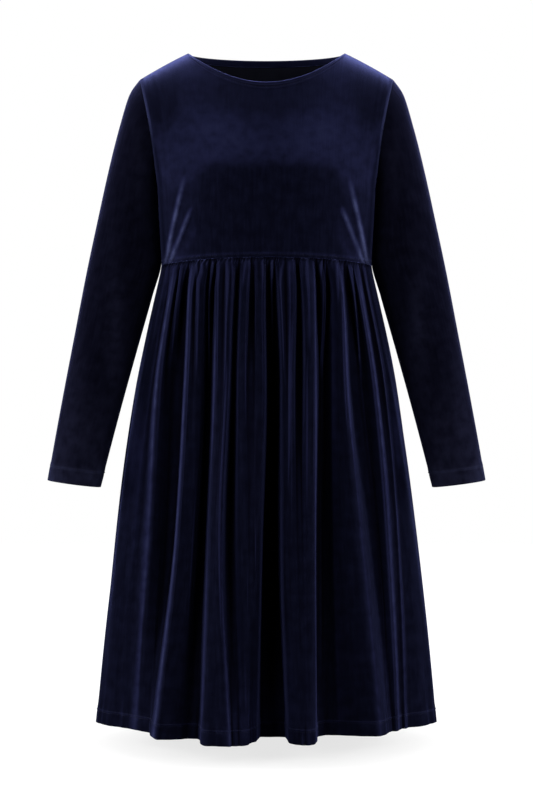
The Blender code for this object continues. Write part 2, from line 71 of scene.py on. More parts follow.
BEND_HALF = 240.0  # sharpness, as 1 / radius in metres, at which the pile stands half open
BEND_DOWN = 0.35  # how much a bend along the cloth counts beside one across it
BEND_PASSES = 2  # how often the sharpness is evened out
WHITE = (1.0, 1.0, 1.0, 1.0)

Colour = tuple[float, float, float, float]
Span = tuple[float, float]  # where an effect starts to show, and where it shows in full
Line = tuple[np.ndarray, np.ndarray]  # points and outward normals along a line on the cloth


# ---------------------------------------------------------------- shared shape helpers
def smooth(places: Sequence[float], values: Sequence[float], at: np.ndarray | float) -> np.ndarray:
    """Run a rounded curve through a table's rows, never past its neighbours.

    Args:
        places: Where each row stands, rising.
        values: The value of each row.
        at: Where the curve is read.

    Returns:
        The curve's values, a monotone cubic.
    """
    places = np.asarray(places, dtype=float)
    values = np.asarray(values, dtype=float)
    at = np.asarray(at, dtype=float)
    run = np.diff(places)
    slope = np.diff(values) / run
    tangent = np.empty(len(places))
    tangent[0] = slope[0]
    tangent[-1] = slope[-1]
    same_way = slope[:-1] * slope[1:] > 0
    safe_sum = np.where(same_way, slope[:-1] + slope[1:], 1.0)
    tangent[1:-1] = np.where(same_way, 2 * slope[:-1] * slope[1:] / safe_sum, 0.0)
    index = np.clip(np.searchsorted(places, at, side="right") - 1, 0, len(run) - 1)
    t = (at - places[index]) / run[index]
    rise = values[index + 1] - values[index]
    first = tangent[index] * run[index]
    last = tangent[index + 1] * run[index]
    return values[index] + t * (first + t * (3 * rise - 2 * first - last + t * (first + last - 2 * rise)))


def column(rows: Sequence[object], name: str) -> np.ndarray:
    """Return one named column of a table of dataclass rows."""
    return np.array([getattr(row, name) for row in rows], dtype=float)


def superellipse(offset: np.ndarray, squareness: np.ndarray | float) -> np.ndarray:
    """Return the depth of a unit superellipse at a sideways offset of 0 to 1."""
    return np.maximum(0.0, 1 - np.abs(offset) ** squareness) ** (1 / squareness)


def unit(vectors: np.ndarray) -> np.ndarray:
    """Return vectors scaled to a length of 1."""
    return vectors / np.maximum(1e-12, np.linalg.norm(vectors, axis=-1, keepdims=True))


def bump_at(distance: np.ndarray, half_width: float) -> np.ndarray:
    """Return a soft ridge profile, 1 on its line and near 0 two half widths away."""
    return np.exp(-((distance / half_width) ** 2))


def ramp(value: np.ndarray | float, start: float, end: float) -> np.ndarray:
    """Return 0 before start, 1 after end, and a soft rise between them."""
    t = np.clip((np.asarray(value, dtype=float) - start) / (end - start), 0.0, 1.0)
    return t * t * (3 - 2 * t)


def at_least(low: float, share: np.ndarray) -> np.ndarray:
    """Return a share of 0 to 1 squeezed to run from low to 1."""
    return low + (1 - low) * share


def evened(values: np.ndarray, is_joined: bool) -> np.ndarray:
    """Return each row of values summed with its neighbours, round the join if there is one."""
    padded = np.pad(values, ((1, 1), (0, 0)), mode="wrap" if is_joined else "edge")
    return padded[:-2] + 2 * padded[1:-1] + padded[2:]


def distances(points: np.ndarray) -> np.ndarray:
    """Return how far each point of a grid lies from the first row, along its own column."""
    steps = np.linalg.norm(np.diff(points, axis=0), axis=-1)
    return np.concatenate([np.zeros((1, points.shape[1])), np.cumsum(steps, axis=0)])


def beside_line(
    x: np.ndarray, y: np.ndarray, run_x: float, run_y: float
) -> tuple[np.ndarray, np.ndarray]:
    """Return points' shares of the way along a line that runs from 0, and their distances aside."""
    length = np.hypot(run_x, run_y)
    return (x * run_x + y * run_y) / length**2, (x * run_y - y * run_x) / length


def add_object(name: str, data: bpy.types.ID) -> bpy.types.Object:
    """Make an object and put it in the scene."""
    made = bpy.data.objects.new(name, data)
    bpy.context.scene.collection.objects.link(made)
    return made


def drawn_back(points: np.ndarray, reach: np.ndarray, spread: float = 6.0) -> np.ndarray:
    """Shorten each line of a grid at its last row, easing the change into the rows before.

    Args:
        points: Rows of points.
        reach: How far each line is shortened.
        spread: Length over which the change is eased, as a multiple of reach.

    Returns:
        Rows of points that follow the same lines.
    """
    gone = distances(points)
    near_end = np.clip((gone - gone[-1] + spread * reach) / (spread * reach), 0.0, 1.0)
    wanted = gone - reach * near_end
    moved = np.empty_like(points)
    for line in range(points.shape[1]):
        for axis in range(3):
            moved[:, line, axis] = np.interp(wanted[:, line], gone[:, line], points[:, line, axis])
    return moved


class Edge(Enum):
    """A side of a cloth's grid, as seen from outside."""

    TOP = "top"
    FOOT = "foot"
    LEFT = "left"
    RIGHT = "right"


@dataclass(frozen=True)
class Patch:
    """A soft oval of painted light, painted shade where its amount is below 0, in millimetres across and
    along.
    """

    x: float
    z: float
    half_x: float
    half_z: float
    amount: float

    def over(self, points: np.ndarray) -> np.ndarray:
        """Return how much the patch adds at each point."""
        aside = (1000 * points[..., 0] - self.x) / self.half_x
        along = (1000 * points[..., 2] - self.z) / self.half_z
        return self.amount * np.exp(-(aside**2) - along**2)


def patched(patches: Sequence[Patch], points: np.ndarray) -> np.ndarray:
    """Return what all the patches of a cloth add at each point."""
    return sum(patch.over(points) for patch in patches)


@dataclass
class Cloth:
    """A piece of cloth as rows of points on its outer face, running down, columns running right.

    It also carries painted light at each point: a painted highlight up to 1, painted shade down to -1.
    """

    points: np.ndarray
    closed: bool = False
    painted_light: np.ndarray | float = 0.0

    def across(self) -> np.ndarray:
        """Return the direction along each row, to the right as seen from outside."""
        if self.closed:
            return unit(np.roll(self.points, -1, axis=1) - np.roll(self.points, 1, axis=1))
        return unit(np.gradient(self.points, axis=1))

    def down(self) -> np.ndarray:
        """Return the direction along each column, away from the top row."""
        return unit(np.gradient(self.points, axis=0))

    def outward(self) -> np.ndarray:
        """Return the outer face's normals."""
        return unit(np.cross(self.down(), self.across()))

    def bend(self) -> np.ndarray:
        """Return how sharply the cloth bends: near 1 on a tight ridge, near -1 in a tight crease."""
        total = np.zeros(self.points.shape[:2])
        normals = self.outward()
        for axis, weight in ((1, 1.0), (0, BEND_DOWN)):
            is_joined = self.closed and axis == 1
            points = np.moveaxis(self.points, axis, 0)
            if is_joined:
                points = np.concatenate([points[-1:], points, points[:1]])
            steps = np.diff(points, axis=0)
            lengths = np.maximum(1e-6, np.linalg.norm(steps, axis=-1))
            inner = np.moveaxis(normals, axis, 0)
            inner = inner if is_joined else inner[1:-1]
            turned = -(np.diff(steps / lengths[..., None], axis=0) * inner).sum(-1)
            apart = (lengths[1:] + lengths[:-1]) / 2
            if not is_joined:
                turned, apart = (np.pad(each, ((1, 1), (0, 0)), mode="edge") for each in (turned, apart))
            for _ in range(BEND_PASSES):
                turned, apart = (evened(each, is_joined) for each in (turned, apart))
            total += weight * np.moveaxis(turned / apart, 0, axis)
        return total / (np.abs(total) + BEND_HALF)

    def raised(self, height: np.ndarray) -> Cloth:
        """Return the cloth moved out along its normals by a height at each point."""
        return Cloth(self.points + self.outward() * height[..., None], self.closed, self.painted_light)

    def brushed_and_painted_light(self, painted_light: np.ndarray) -> Cloth:
        """Return the cloth with painted light added at each point, painted shade where it is below 0."""
        return Cloth(self.points, self.closed, self.painted_light + painted_light)

    def line(self, edge: Edge, distance: float) -> Line:
        """Return points and outward normals of a line along the top or foot, at a distance from it."""
        points, normals = self.points, self.outward()
        if edge is Edge.FOOT:
            points, normals = points[::-1], normals[::-1]
        gone = distances(points)
        found = [
            [np.interp(distance, gone[:, k], values[:, k, axis]) for axis in range(3)]
            for values in (points, normals)
            for k in range(points.shape[1])
        ]
        found = np.array(found).reshape(2, -1, 3)
        if self.closed:
            found = np.concatenate([found, found[:, :1]], axis=1)
        return found[0], unit(found[1])

    def turned(
        self, edge: Edge, angle: np.ndarray | float, radius: np.ndarray | float, width: np.ndarray | float
    ) -> Cloth:
        """Carry the cloth on over one edge, round a small radius and on underneath.

        Args:
            edge: Which edge is turned.
            angle: How far it turns, in radians: half a circle for a hem, a quarter at a seam.
            radius: Radius of the outer face at the turn.
            width: How far the cloth runs on after the turn.

        Returns:
            The cloth with the turned rows added.
        """
        points, normals = self.points, self.outward()
        is_sideways, is_at_start = edge in (Edge.LEFT, Edge.RIGHT), edge in (Edge.TOP, Edge.LEFT)
        if is_sideways:
            points, normals = points.transpose(1, 0, 2), normals.transpose(1, 0, 2)
        if is_at_start:
            points, normals = points[::-1], normals[::-1]
        edge_line = points[-1]
        points = drawn_back(points, np.broadcast_to(np.asarray(radius, dtype=float), points.shape[1]))
        last, normal = points[-1], normals[-1]
        if self.closed:
            along = unit(np.roll(last, -1, axis=0) - np.roll(last, 1, axis=0))
        else:
            along = unit(np.gradient(last, axis=0))
        out = unit(np.cross(normal, along))
        out *= np.sign((out * (edge_line - points[-4])).sum())  # away from the rows just before the edge
        angle, radius, width = (
            np.broadcast_to(np.asarray(value, dtype=float), last.shape[:1])[:, None]
            for value in (angle, radius, width)
        )
        rows = []
        for share in np.linspace(0, 1, TURN_STEPS + 1):
            turn = angle * share
            rows.append(last + out * radius * np.sin(turn) - normal * radius * (1 - np.cos(turn)))
        heading = out * np.cos(angle) - normal * np.sin(angle)
        rows += [rows[-1] + heading * width * share for share in RUN_ON_SHARES]
        points = np.concatenate([points[:-1], np.array(rows)])
        if is_at_start:
            points = points[::-1]
        if is_sideways:
            points = points.transpose(1, 0, 2)
        added = (TURNED_ROWS, 0) if is_at_start else (0, TURNED_ROWS)
        added = ((0, 0), added) if is_sideways else (added, (0, 0))
        painted_light = np.pad(np.broadcast_to(self.painted_light, self.points.shape[:2]), added, mode="edge")
        return Cloth(points, self.closed, painted_light)

    def upward(self, values: np.ndarray) -> np.ndarray:
        """Return rows of values from the foot up, with the first column repeated at a join."""
        values = values[::-1]
        return np.concatenate([values, values[:, :1]], axis=1) if self.closed else values

    def make(self, name: str, outside: bpy.types.Material, inside: bpy.types.Material) -> bpy.types.Object:
        """Build the cloth as a thin shell with a cloth map in metres.

        Args:
            name: Name of the piece.
            outside: Finish of the pile side.
            inside: Finish of the wrong side.

        Returns:
            The new object.
        """
        points = self.upward(self.points)
        rows, columns = points.shape[:2]
        shape = bmesh.new()
        shape.loops.layers.uv.new("cloth")
        bmesh.ops.create_grid(shape, x_segments=columns - 1, y_segments=rows - 1, size=1.0, calc_uvs=True)
        mesh = bpy.data.meshes.new(name)
        shape.to_mesh(mesh)
        shape.free()
        mesh.vertices.foreach_set("co", points.reshape(-1, 3).astype(np.float32).ravel())
        run = np.median(np.linalg.norm(np.diff(points, axis=1), axis=-1), axis=0)
        place_x = np.broadcast_to(np.concatenate([[0.0], np.cumsum(run)]), (rows, columns))
        flat = np.stack([place_x, distances(points)], axis=-1).reshape(-1, 2)
        painted_light = np.broadcast_to(self.painted_light, self.points.shape[:2])
        # the bend, and the painted light and shade, go on as point attributes
        for label, values in (("bend", self.bend()), ("painted_light", painted_light)):
            kept = mesh.attributes.new(label, "FLOAT", "POINT")
            kept.data.foreach_set("value", self.upward(values).astype(np.float32).ravel())
        corner = np.empty(len(mesh.loops), dtype=np.int32)
        mesh.loops.foreach_get("vertex_index", corner)
        mesh.uv_layers["cloth"].data.foreach_set("uv", flat[corner].astype(np.float32).ravel())
        if self.closed:
            shape = bmesh.new()
            shape.from_mesh(mesh)
            bmesh.ops.remove_doubles(shape, verts=shape.verts, dist=1e-6)
            shape.to_mesh(mesh)
            shape.free()
        mesh.update()
        mesh.shade_smooth()
        piece = add_object(name, mesh)
        mesh.materials.append(outside)
        mesh.materials.append(inside)
        wall = piece.modifiers.new("cloth thickness", "SOLIDIFY")
        wall.thickness = CLOTH
        wall.offset = -1.0
        wall.material_offset = 1
        return piece


# ---------------------------------------------------------------- finishes
def node_group(name: str, inputs: dict[str, str], outputs: dict[str, str]) -> bpy.types.NodeTree:
    """Make an empty shader node group.

    Args:
        name: Name of the group.
        inputs: Kind of socket of each named input.
        outputs: Kind of socket of each named output.

    Returns:
        The group, holding only its input and output nodes.
    """
    group = bpy.data.node_groups.new(name, "ShaderNodeTree")
    for way, sockets in (("INPUT", inputs), ("OUTPUT", outputs)):
        for label, kind in sockets.items():
            group.interface.new_socket(label, in_out=way, socket_type=kind)
    group.nodes.new("NodeGroupInput").name = "in"
    group.nodes.new("NodeGroupOutput").name = "out"
    return group


def fill(tree: bpy.types.NodeTree, target: bpy.types.Node, values: dict) -> None:
    """Set a node's inputs, by name or index, each to a value or to a socket to link from."""
    for key, value in values.items():
        if isinstance(value, bpy.types.NodeSocket):
            tree.links.new(value, target.inputs[key])
        else:
            target.inputs[key].default_value = value


def node(
    tree: bpy.types.NodeTree, kind: str, values: dict | None = None, **settings: object
) -> bpy.types.Node:
    """Add a shader node, with its settings and its unlinked values or links.

    Args:
        tree: Where it goes.
        kind: Blender's name for the node, without "ShaderNode".
        values: What each input holds, by name or index: a value, or a socket to link from.
        settings: The node's own properties.

    Returns:
        The new node.
    """
    made = tree.nodes.new("ShaderNode" + kind)
    for key, value in settings.items():
        setattr(made, key, value)
    fill(tree, made, values or {})
    return made


def principled(name: str, values: dict) -> tuple[bpy.types.Material, bpy.types.Node]:
    """Make a material, set what its Principled shader holds all over, and return both."""
    made = bpy.data.materials.new(name)
    made.use_nodes = True
    shader = made.node_tree.nodes["Principled BSDF"]
    fill(made.node_tree, shader, values)
    return made, shader


def maths(
    tree: bpy.types.NodeTree, operation: str, *values: object, kind: str = "Math", **settings: object
) -> bpy.types.NodeSocket:
    """Add a sum on values or sockets, on vectors if its kind is VectorMath, and return its result."""
    return node(tree, kind, dict(enumerate(values)), operation=operation, **settings).outputs[0]


def scaled(tree: bpy.types.NodeTree, vector: object, scale: object) -> bpy.types.NodeSocket:
    """Add a node that multiplies a vector by a number, and return its result."""
    return node(tree, "VectorMath", {0: vector, "Scale": scale}, operation="SCALE").outputs[0]


def remap(
    tree: bpy.types.NodeTree, value: object, span: Span, onto: Span = (0.0, 1.0), **settings: object
) -> bpy.types.NodeSocket:
    """Add a node that maps one span of a value onto another, and return its result."""
    held = {"Value": value, "From Min": span[0], "From Max": span[1], "To Min": onto[0], "To Max": onto[1]}
    return node(tree, "MapRange", held, **settings).outputs[0]


def noise(
    tree: bpy.types.NodeTree, place: object, detail: float, roughness: float = 0.5, scale: float = 1.0
) -> bpy.types.NodeSocket:
    """Add a noise texture, and return its value."""
    held = {"Vector": place, "Scale": scale, "Detail": detail, "Roughness": roughness}
    return node(tree, "TexNoise", held).outputs["Fac"]


def blend(tree: bpy.types.NodeTree, share: object, under: object, over: object) -> bpy.types.NodeSocket:
    """Add a node that mixes two colours by the share of the second, and return the colour."""
    return node(tree, "Mix", {"Factor": share, 6: under, 7: over}, data_type="RGBA").outputs[2]


@dataclass(frozen=True)
class Pile:
    """How velvet's pile shows: brushed streaks down the cloth, bruised patches and fine grain, with painted
    light, painted highlights and painted shade.
    """

    streak_detail: float = 3.0
    streak_roughness: float = 0.6
    detail: float = 2.0  # of the patches and of the grain
    brushed_and_painted_light: Span = (0.15, 0.42)  # of the streaks times the patches
    ridge_highlight: Span = (0.40, 1.40)  # of the bend: painted highlight on tight ridges
    cloud: Span = (0.3, 0.7)  # of the patches
    cloud_shares: Span = (0.55, 1.45)  # shares of the painted light that show there
    raised: Span = (0.0, 0.12)  # of the painted light, in the painted light colour
    painted_highlight: Span = (0.12, 1.0)  # of the painted light, in the painted highlight colour
    crease_shade: Span = (-0.10, -0.60)  # of the bend: painted shade in tight creases
    painted_shade: Span = (0.0, -1.0)  # of the painted light below 0: painted shade
    # painted shade colour, in creases and where the painted light is below 0
    painted_shade_colour: Colour = (0.0014, 0.0012, 0.0032, 1.0)
    streak_height: float = 0.7  # share of the relief
    grain_height: float = 0.3

    def group(self) -> bpy.types.NodeTree:
        """Make the node group, which takes a finish's colours and sizes."""
        inputs = {"Cloth": "NodeSocketVector"}
        for label in ("Colour", "Brushed Colour", "Painted Light Colour", "Painted Highlight Colour"):
            inputs[label] = "NodeSocketColor"
        for label in ("Bend", "Painted Light", "Streak Width", "Streak Length", "Patch Size", "Grain Size"):
            inputs[label] = "NodeSocketFloat"
        group = node_group("velvet_pile_and_painted_light", inputs, {"Colour": "NodeSocketColor", "Height": "NodeSocketFloat"})
        given = group.nodes["in"].outputs
        stretch = node(group, "CombineXYZ", {0: given["Streak Width"], 1: given["Streak Length"], 2: 1.0})
        along = maths(group, "DIVIDE", given["Cloth"], stretch.outputs[0], kind="VectorMath")
        streaks = noise(group, along, self.streak_detail, self.streak_roughness)
        patches, grain = (
            noise(group, scaled(group, given["Cloth"], maths(group, "DIVIDE", 1.0, given[size])), self.detail)
            for size in ("Patch Size", "Grain Size")
        )
        cloudy = remap(group, patches, self.cloud, self.cloud_shares)
        painted_light = maths(
            group, "MULTIPLY_ADD", given["Painted Light"], cloudy, remap(group, given["Bend"], self.ridge_highlight)
        )
        crease_shade = remap(group, given["Bend"], self.crease_shade)
        painted_shade = remap(group, given["Painted Light"], self.painted_shade)
        colour = given["Colour"]
        # the brushed streaks are the cloth's own tone; the other colours are painted light, painted highlight
        # and painted shade
        for share, over in (
            (remap(group, maths(group, "MULTIPLY", streaks, patches), self.brushed_and_painted_light), given["Brushed Colour"]),
            (remap(group, painted_light, self.raised), given["Painted Light Colour"]),
            (remap(group, painted_light, self.painted_highlight), given["Painted Highlight Colour"]),
            (maths(group, "ADD", crease_shade, painted_shade, use_clamp=True), self.painted_shade_colour),
        ):
            colour = blend(group, share, colour, over)
        height = maths(group, "MULTIPLY", streaks, self.streak_height)
        height = maths(group, "MULTIPLY_ADD", grain, self.grain_height, height)
        fill(group, group.nodes["out"], {"Colour": colour, "Height": height})
        return group


def lean_group() -> bpy.types.NodeTree:
    """Make the group that tips the surface's normal along the lie of the pile."""
    inputs = {"Across": "NodeSocketVector", "Lean": "NodeSocketFloat"}
    group = node_group("pile_lean", inputs, {"Normal": "NodeSocketVector"})
    given = group.nodes["in"].outputs
    facing = node(group, "NewGeometry").outputs["Normal"]
    up = maths(group, "CROSS_PRODUCT", facing, given["Across"], kind="VectorMath")
    total = maths(group, "ADD", facing, scaled(group, up, given["Lean"]), kind="VectorMath")
    fill(group, group.nodes["out"], {"Normal": maths(group, "NORMALIZE", total, kind="VectorMath")})
    return group


@dataclass(frozen=True)
class ClothFinish:
    """One side of the velvet jersey, with the colours of its painted light and painted highlight."""

    name: str
    colour: Colour
    # colour of the brushed streaks
    brushed_and_painted_light: Colour
    # colours of the painted light and of the painted highlight
    raised: Colour
    painted_highlight: Colour
    roughness: float
    specular: float
    sheen: float
    sheen_roughness: float
    sheen_tint: Colour
    streak_width: float = 0.004
    streak_length: float = 0.040
    patch_size: float = 0.030
    grain_size: float = 0.0010
    relief: float = 0.0006
    lean: float = 0.0  # how far the pile lies over, up the cloth

    def material(self, pile: bpy.types.NodeTree, lean: bpy.types.NodeTree) -> bpy.types.Material:
        """Make the material.

        Args:
            pile: The velvet_pile_and_painted_light group.
            lean: The pile_lean group.

        Returns:
            A Principled material that reads the piece's own cloth map.
        """
        held = {
            "Roughness": self.roughness,
            "Specular IOR Level": self.specular,
            "Sheen Weight": self.sheen,
            "Sheen Roughness": self.sheen_roughness,
            "Sheen Tint": self.sheen_tint,
        }
        made, shader = principled(self.name, held)
        tree = made.node_tree
        held = {
            "Cloth": node(tree, "UVMap", uv_map="cloth").outputs["UV"],
            "Colour": self.colour,
            "Brushed Colour": self.brushed_and_painted_light,
            "Painted Light Colour": self.raised,
            "Painted Highlight Colour": self.painted_highlight,
            "Bend": node(tree, "Attribute", attribute_name="bend").outputs["Fac"],
            "Painted Light": node(tree, "Attribute", attribute_name="painted_light").outputs["Fac"],
            "Streak Width": self.streak_width,
            "Streak Length": self.streak_length,
            "Patch Size": self.patch_size,
            "Grain Size": self.grain_size,
        }
        fibres = node(tree, "Group", held, node_tree=pile)
        across = node(tree, "Tangent", direction_type="UV_MAP", uv_map="cloth").outputs[0]
        leaning = node(tree, "Group", {"Across": across, "Lean": self.lean}, node_tree=lean)
        held = {"Strength": 1.0, "Distance": self.relief, "Height": fibres.outputs["Height"]}
        bump = node(tree, "Bump", {**held, "Normal": leaning.outputs[0]})
        fill(tree, shader, {"Base Color": fibres.outputs["Colour"], "Normal": bump.outputs["Normal"]})
        return made


VELVET = ClothFinish(
    name="navy_velvet",
    colour=(0.0020, 0.0022, 0.0062, 1.0),
    brushed_and_painted_light=(0.0035, 0.0040, 0.0115, 1.0),
    # painted light and painted highlight colours
    raised=(0.0068, 0.0076, 0.0245, 1.0),
    painted_highlight=(0.0310, 0.0360, 0.0860, 1.0),
    roughness=0.95,
    specular=0.0,
    sheen=1.0,
    sheen_roughness=0.30,
    sheen_tint=(0.146, 0.168, 0.480, 1.0),
    patch_size=0.016,
    lean=0.35,
)
# A darker, greyer copy of the velvet, which paints shade on the sleeves.
SHADED_SLEEVE_VELVET = replace(
    VELVET,
    name="navy_velvet_sleeve_shaded",
    colour=(0.0015, 0.0015, 0.0040, 1.0),
    brushed_and_painted_light=(0.0029, 0.0030, 0.0076, 1.0),
    raised=(0.0070, 0.0074, 0.0175, 1.0),
    sheen_tint=(0.138, 0.150, 0.400, 1.0),
)
JERSEY_BACK = ClothFinish(
    name="jersey_back",
    colour=(0.0034, 0.0038, 0.0072, 1.0),
    brushed_and_painted_light=(0.0056, 0.0062, 0.0110, 1.0),
    # painted light and painted highlight colours of the wrong side
    raised=(0.0100, 0.0105, 0.0190, 1.0),
    painted_highlight=(0.0120, 0.0120, 0.0240, 1.0),
    roughness=0.95,
    specular=0.05,
    sheen=0.2,
    sheen_roughness=0.5,
    sheen_tint=(0.05, 0.05, 0.10, 1.0),
    streak_width=0.0012,
    streak_length=0.012,
    relief=0.0002,
)


@dataclass(frozen=True)
class ThreadFinish:
    """Polyester sewing thread."""

    name: str = "navy_thread"
    colour: Colour = (0.005, 0.006, 0.015, 1.0)
    light: Colour = (0.012, 0.014, 0.030, 1.0)
    twist_size: float = 0.0009
    roughness: float = 0.70
    specular: float = 0.10

    def material(self) -> bpy.types.Material:
        """Make the material: a soft gloss with the light and dark of the thread's twist."""
        made, shader = principled(
            self.name, {"Roughness": self.roughness, "Specular IOR Level": self.specular}
        )
        tree = made.node_tree
        place = node(tree, "TexCoord").outputs["Object"]
        twist = noise(tree, place, 1.0, scale=1 / self.twist_size)
        fill(tree, shader, {"Base Color": blend(tree, twist, self.colour, self.light)})
        return made


# ---------------------------------------------------------------- stitching
@dataclass(frozen=True)
class Stitching:
    """A row of machine stitches along a line on a cloth."""

    pitch: float = 0.0030
    length: float = 0.0023
    thread: float = 0.00045  # diameter
    sunk: float = 0.00012  # how deep the ends lie in the pile
    crown: float = 0.35  # rise of a stitch's middle, in threads
    dive: float = 0.90  # fall of its ends, in threads
    taper: float = 0.35  # share of the thread's width lost at the ends
    sides: int = 6
    cuts: int = 3  # rings between the ends
    first: float = 0.75  # middle of the first stitch, in pitches

    def template(self) -> tuple[np.ndarray, list[tuple[int, ...]]]:
        """Return one stitch's points and faces: a short low arch of thread along +X, up +Z."""
        shape = bmesh.new()
        radius = self.thread / 2
        bmesh.ops.create_cone(
            shape, cap_ends=True, segments=self.sides, radius1=radius, radius2=radius, depth=1.0
        )
        long_edges = [edge for edge in shape.edges if edge.verts[0].co.z * edge.verts[1].co.z < 0]
        bmesh.ops.subdivide_edges(shape, edges=long_edges, cuts=self.cuts)
        bmesh.ops.triangulate(shape, faces=[f for f in shape.faces if len(f.verts) > 4])
        shape.verts.index_update()
        points = np.array([vertex.co for vertex in shape.verts])
        faces = [tuple(vertex.index for vertex in face.verts) for face in shape.faces]
        shape.free()
        along = points[:, 2]
        ends = (2 * along) ** 4
        arch = self.thread * self.crown - self.sunk - self.thread * self.dive * ends
        thin = 1 - self.taper * ends
        placed = np.stack([along * self.length, points[:, 1] * thin, -points[:, 0] * thin + arch], axis=-1)
        return placed, faces

    def make(self, name: str, lines: Sequence[Line], finish: bpy.types.Material) -> bpy.types.Object:
        """Sew rows of stitches as one joined mesh.

        Args:
            name: Name of the piece.
            lines: Points and outward normals along each row.
            finish: The thread's material.

        Returns:
            The new object.
        """
        points, faces = self.template()
        placed, index = [], []
        for line, normals in lines:
            gone = distances(line[:, None])[:, 0]
            count = int((gone[-1] - self.pitch) / self.pitch)
            middles = self.pitch * (np.arange(count) + self.first)
            centre, ahead, up = (
                np.stack([np.interp(where, gone, values[:, k]) for k in range(3)], axis=-1)
                for where, values in ((middles, line), (middles + self.length / 2, line), (middles, normals))
            )
            forward = unit(ahead - centre)
            up = unit(up - forward * (up * forward).sum(-1, keepdims=True))
            side = np.cross(up, forward)
            axes = np.stack([forward, side, up], axis=1)
            for middle, axis in zip(centre, axes):
                index += [tuple(k + len(points) * len(placed) for k in face) for face in faces]
                placed.append(middle + points @ axis)
        mesh = bpy.data.meshes.new(name)
        mesh.from_pydata(np.concatenate(placed).tolist(), [], index)
        mesh.materials.append(finish)
        mesh.shade_smooth()
        return add_object(name, mesh)


@dataclass(frozen=True)
class Welt:
    """One soft ridge along an edge, a groove if it is below 0, or a band of painted light along it."""

    place: float  # distance from the edge or from its stitches, away from the edge
    amount: float  # height, or how much painted light it adds
    half_width: float

    def over(self, away: np.ndarray) -> np.ndarray:
        """Return what the ridge adds at each distance."""
        return self.amount * bump_at(away - self.place, self.half_width)


@dataclass(frozen=True)
class Wave:
    """An uneven wave along a seam, whose phase wanders slowly."""

    pitch: float
    wander: float  # in radians
    wander_run: float
    slant: float = 0.0  # radians for each metre away from the seam

    def over(self, across: np.ndarray, away: np.ndarray | float = 0.0) -> np.ndarray:
        """Return the wave, -1 to 1, at places across a piece and away from its seam."""
        wandered = self.wander * np.sin(across / self.wander_run)
        return np.cos(2 * np.pi * across / self.pitch + wandered + self.slant * away)


HEM_STEP = 0.0006  # rise of a hem's double cloth
HEM_STEP_RUN = 0.002  # length over which it ends, past the upper row of stitches
HEM_WELTS = (
    Welt(0.0, -0.0006, 0.0009),  # sunk along the lower row of stitches
    Welt(TWIN_GAP, -0.0006, 0.0009),  # and along the upper one
    Welt(TWIN_GAP / 2, 0.0007, 0.0010),  # puffed up between them
    Welt(TWIN_GAP + 0.0025, 0.00042, 0.0018),  # and above them
)
# painted highlight between a hem's two rows of stitches
HEM_PAINTED_LIGHT = Welt(TWIN_GAP / 2, 1.0, 0.0022)


def welted(welts: Sequence[Welt], away: np.ndarray) -> np.ndarray:
    """Return what several soft ridges add at each distance."""
    return sum(welt.over(away) for welt in welts)


def hem_relief(from_foot: np.ndarray, row: float) -> np.ndarray:
    """Return the height of a folded hem: two layers below its twin row of stitches, sunk along both.

    Args:
        from_foot: Distance from the fold.
        row: Distance of the lower row of stitches from the fold.

    Returns:
        The height above the single cloth.
    """
    past = from_foot - row
    return HEM_STEP * (1 - ramp(past, TWIN_GAP, TWIN_GAP + HEM_STEP_RUN)) + welted(HEM_WELTS, past)


def twin_rows(cloth: Cloth, hem: float) -> list[Line]:
    """Return the two rows of stitches that hold a hem of some width at a cloth's foot."""
    return [cloth.line(Edge.FOOT, hem - STITCH_INSET + gap) for gap in (0.0, TWIN_GAP)]


# ---------------------------------------------------------------- bodice
@dataclass(frozen=True)
class BodiceLevel:
    """One height of the bodice: depth factors of the rounded front and back, and the plan's squareness."""

    z: float
    front: float
    back: float
    squareness: float


@dataclass(frozen=True)
class Crease:
    """One soft ridge pulled across the bodice, between two (across, height) places, with a painted highlight
    along it.
    """

    start_u: float
    start_w: float
    end_u: float
    end_w: float
    height: float
    half_width: float
    onset: float = 0.25
    run_out: float = 0.12
    overrun: float = 0.08
    painted_light: float = 0.0


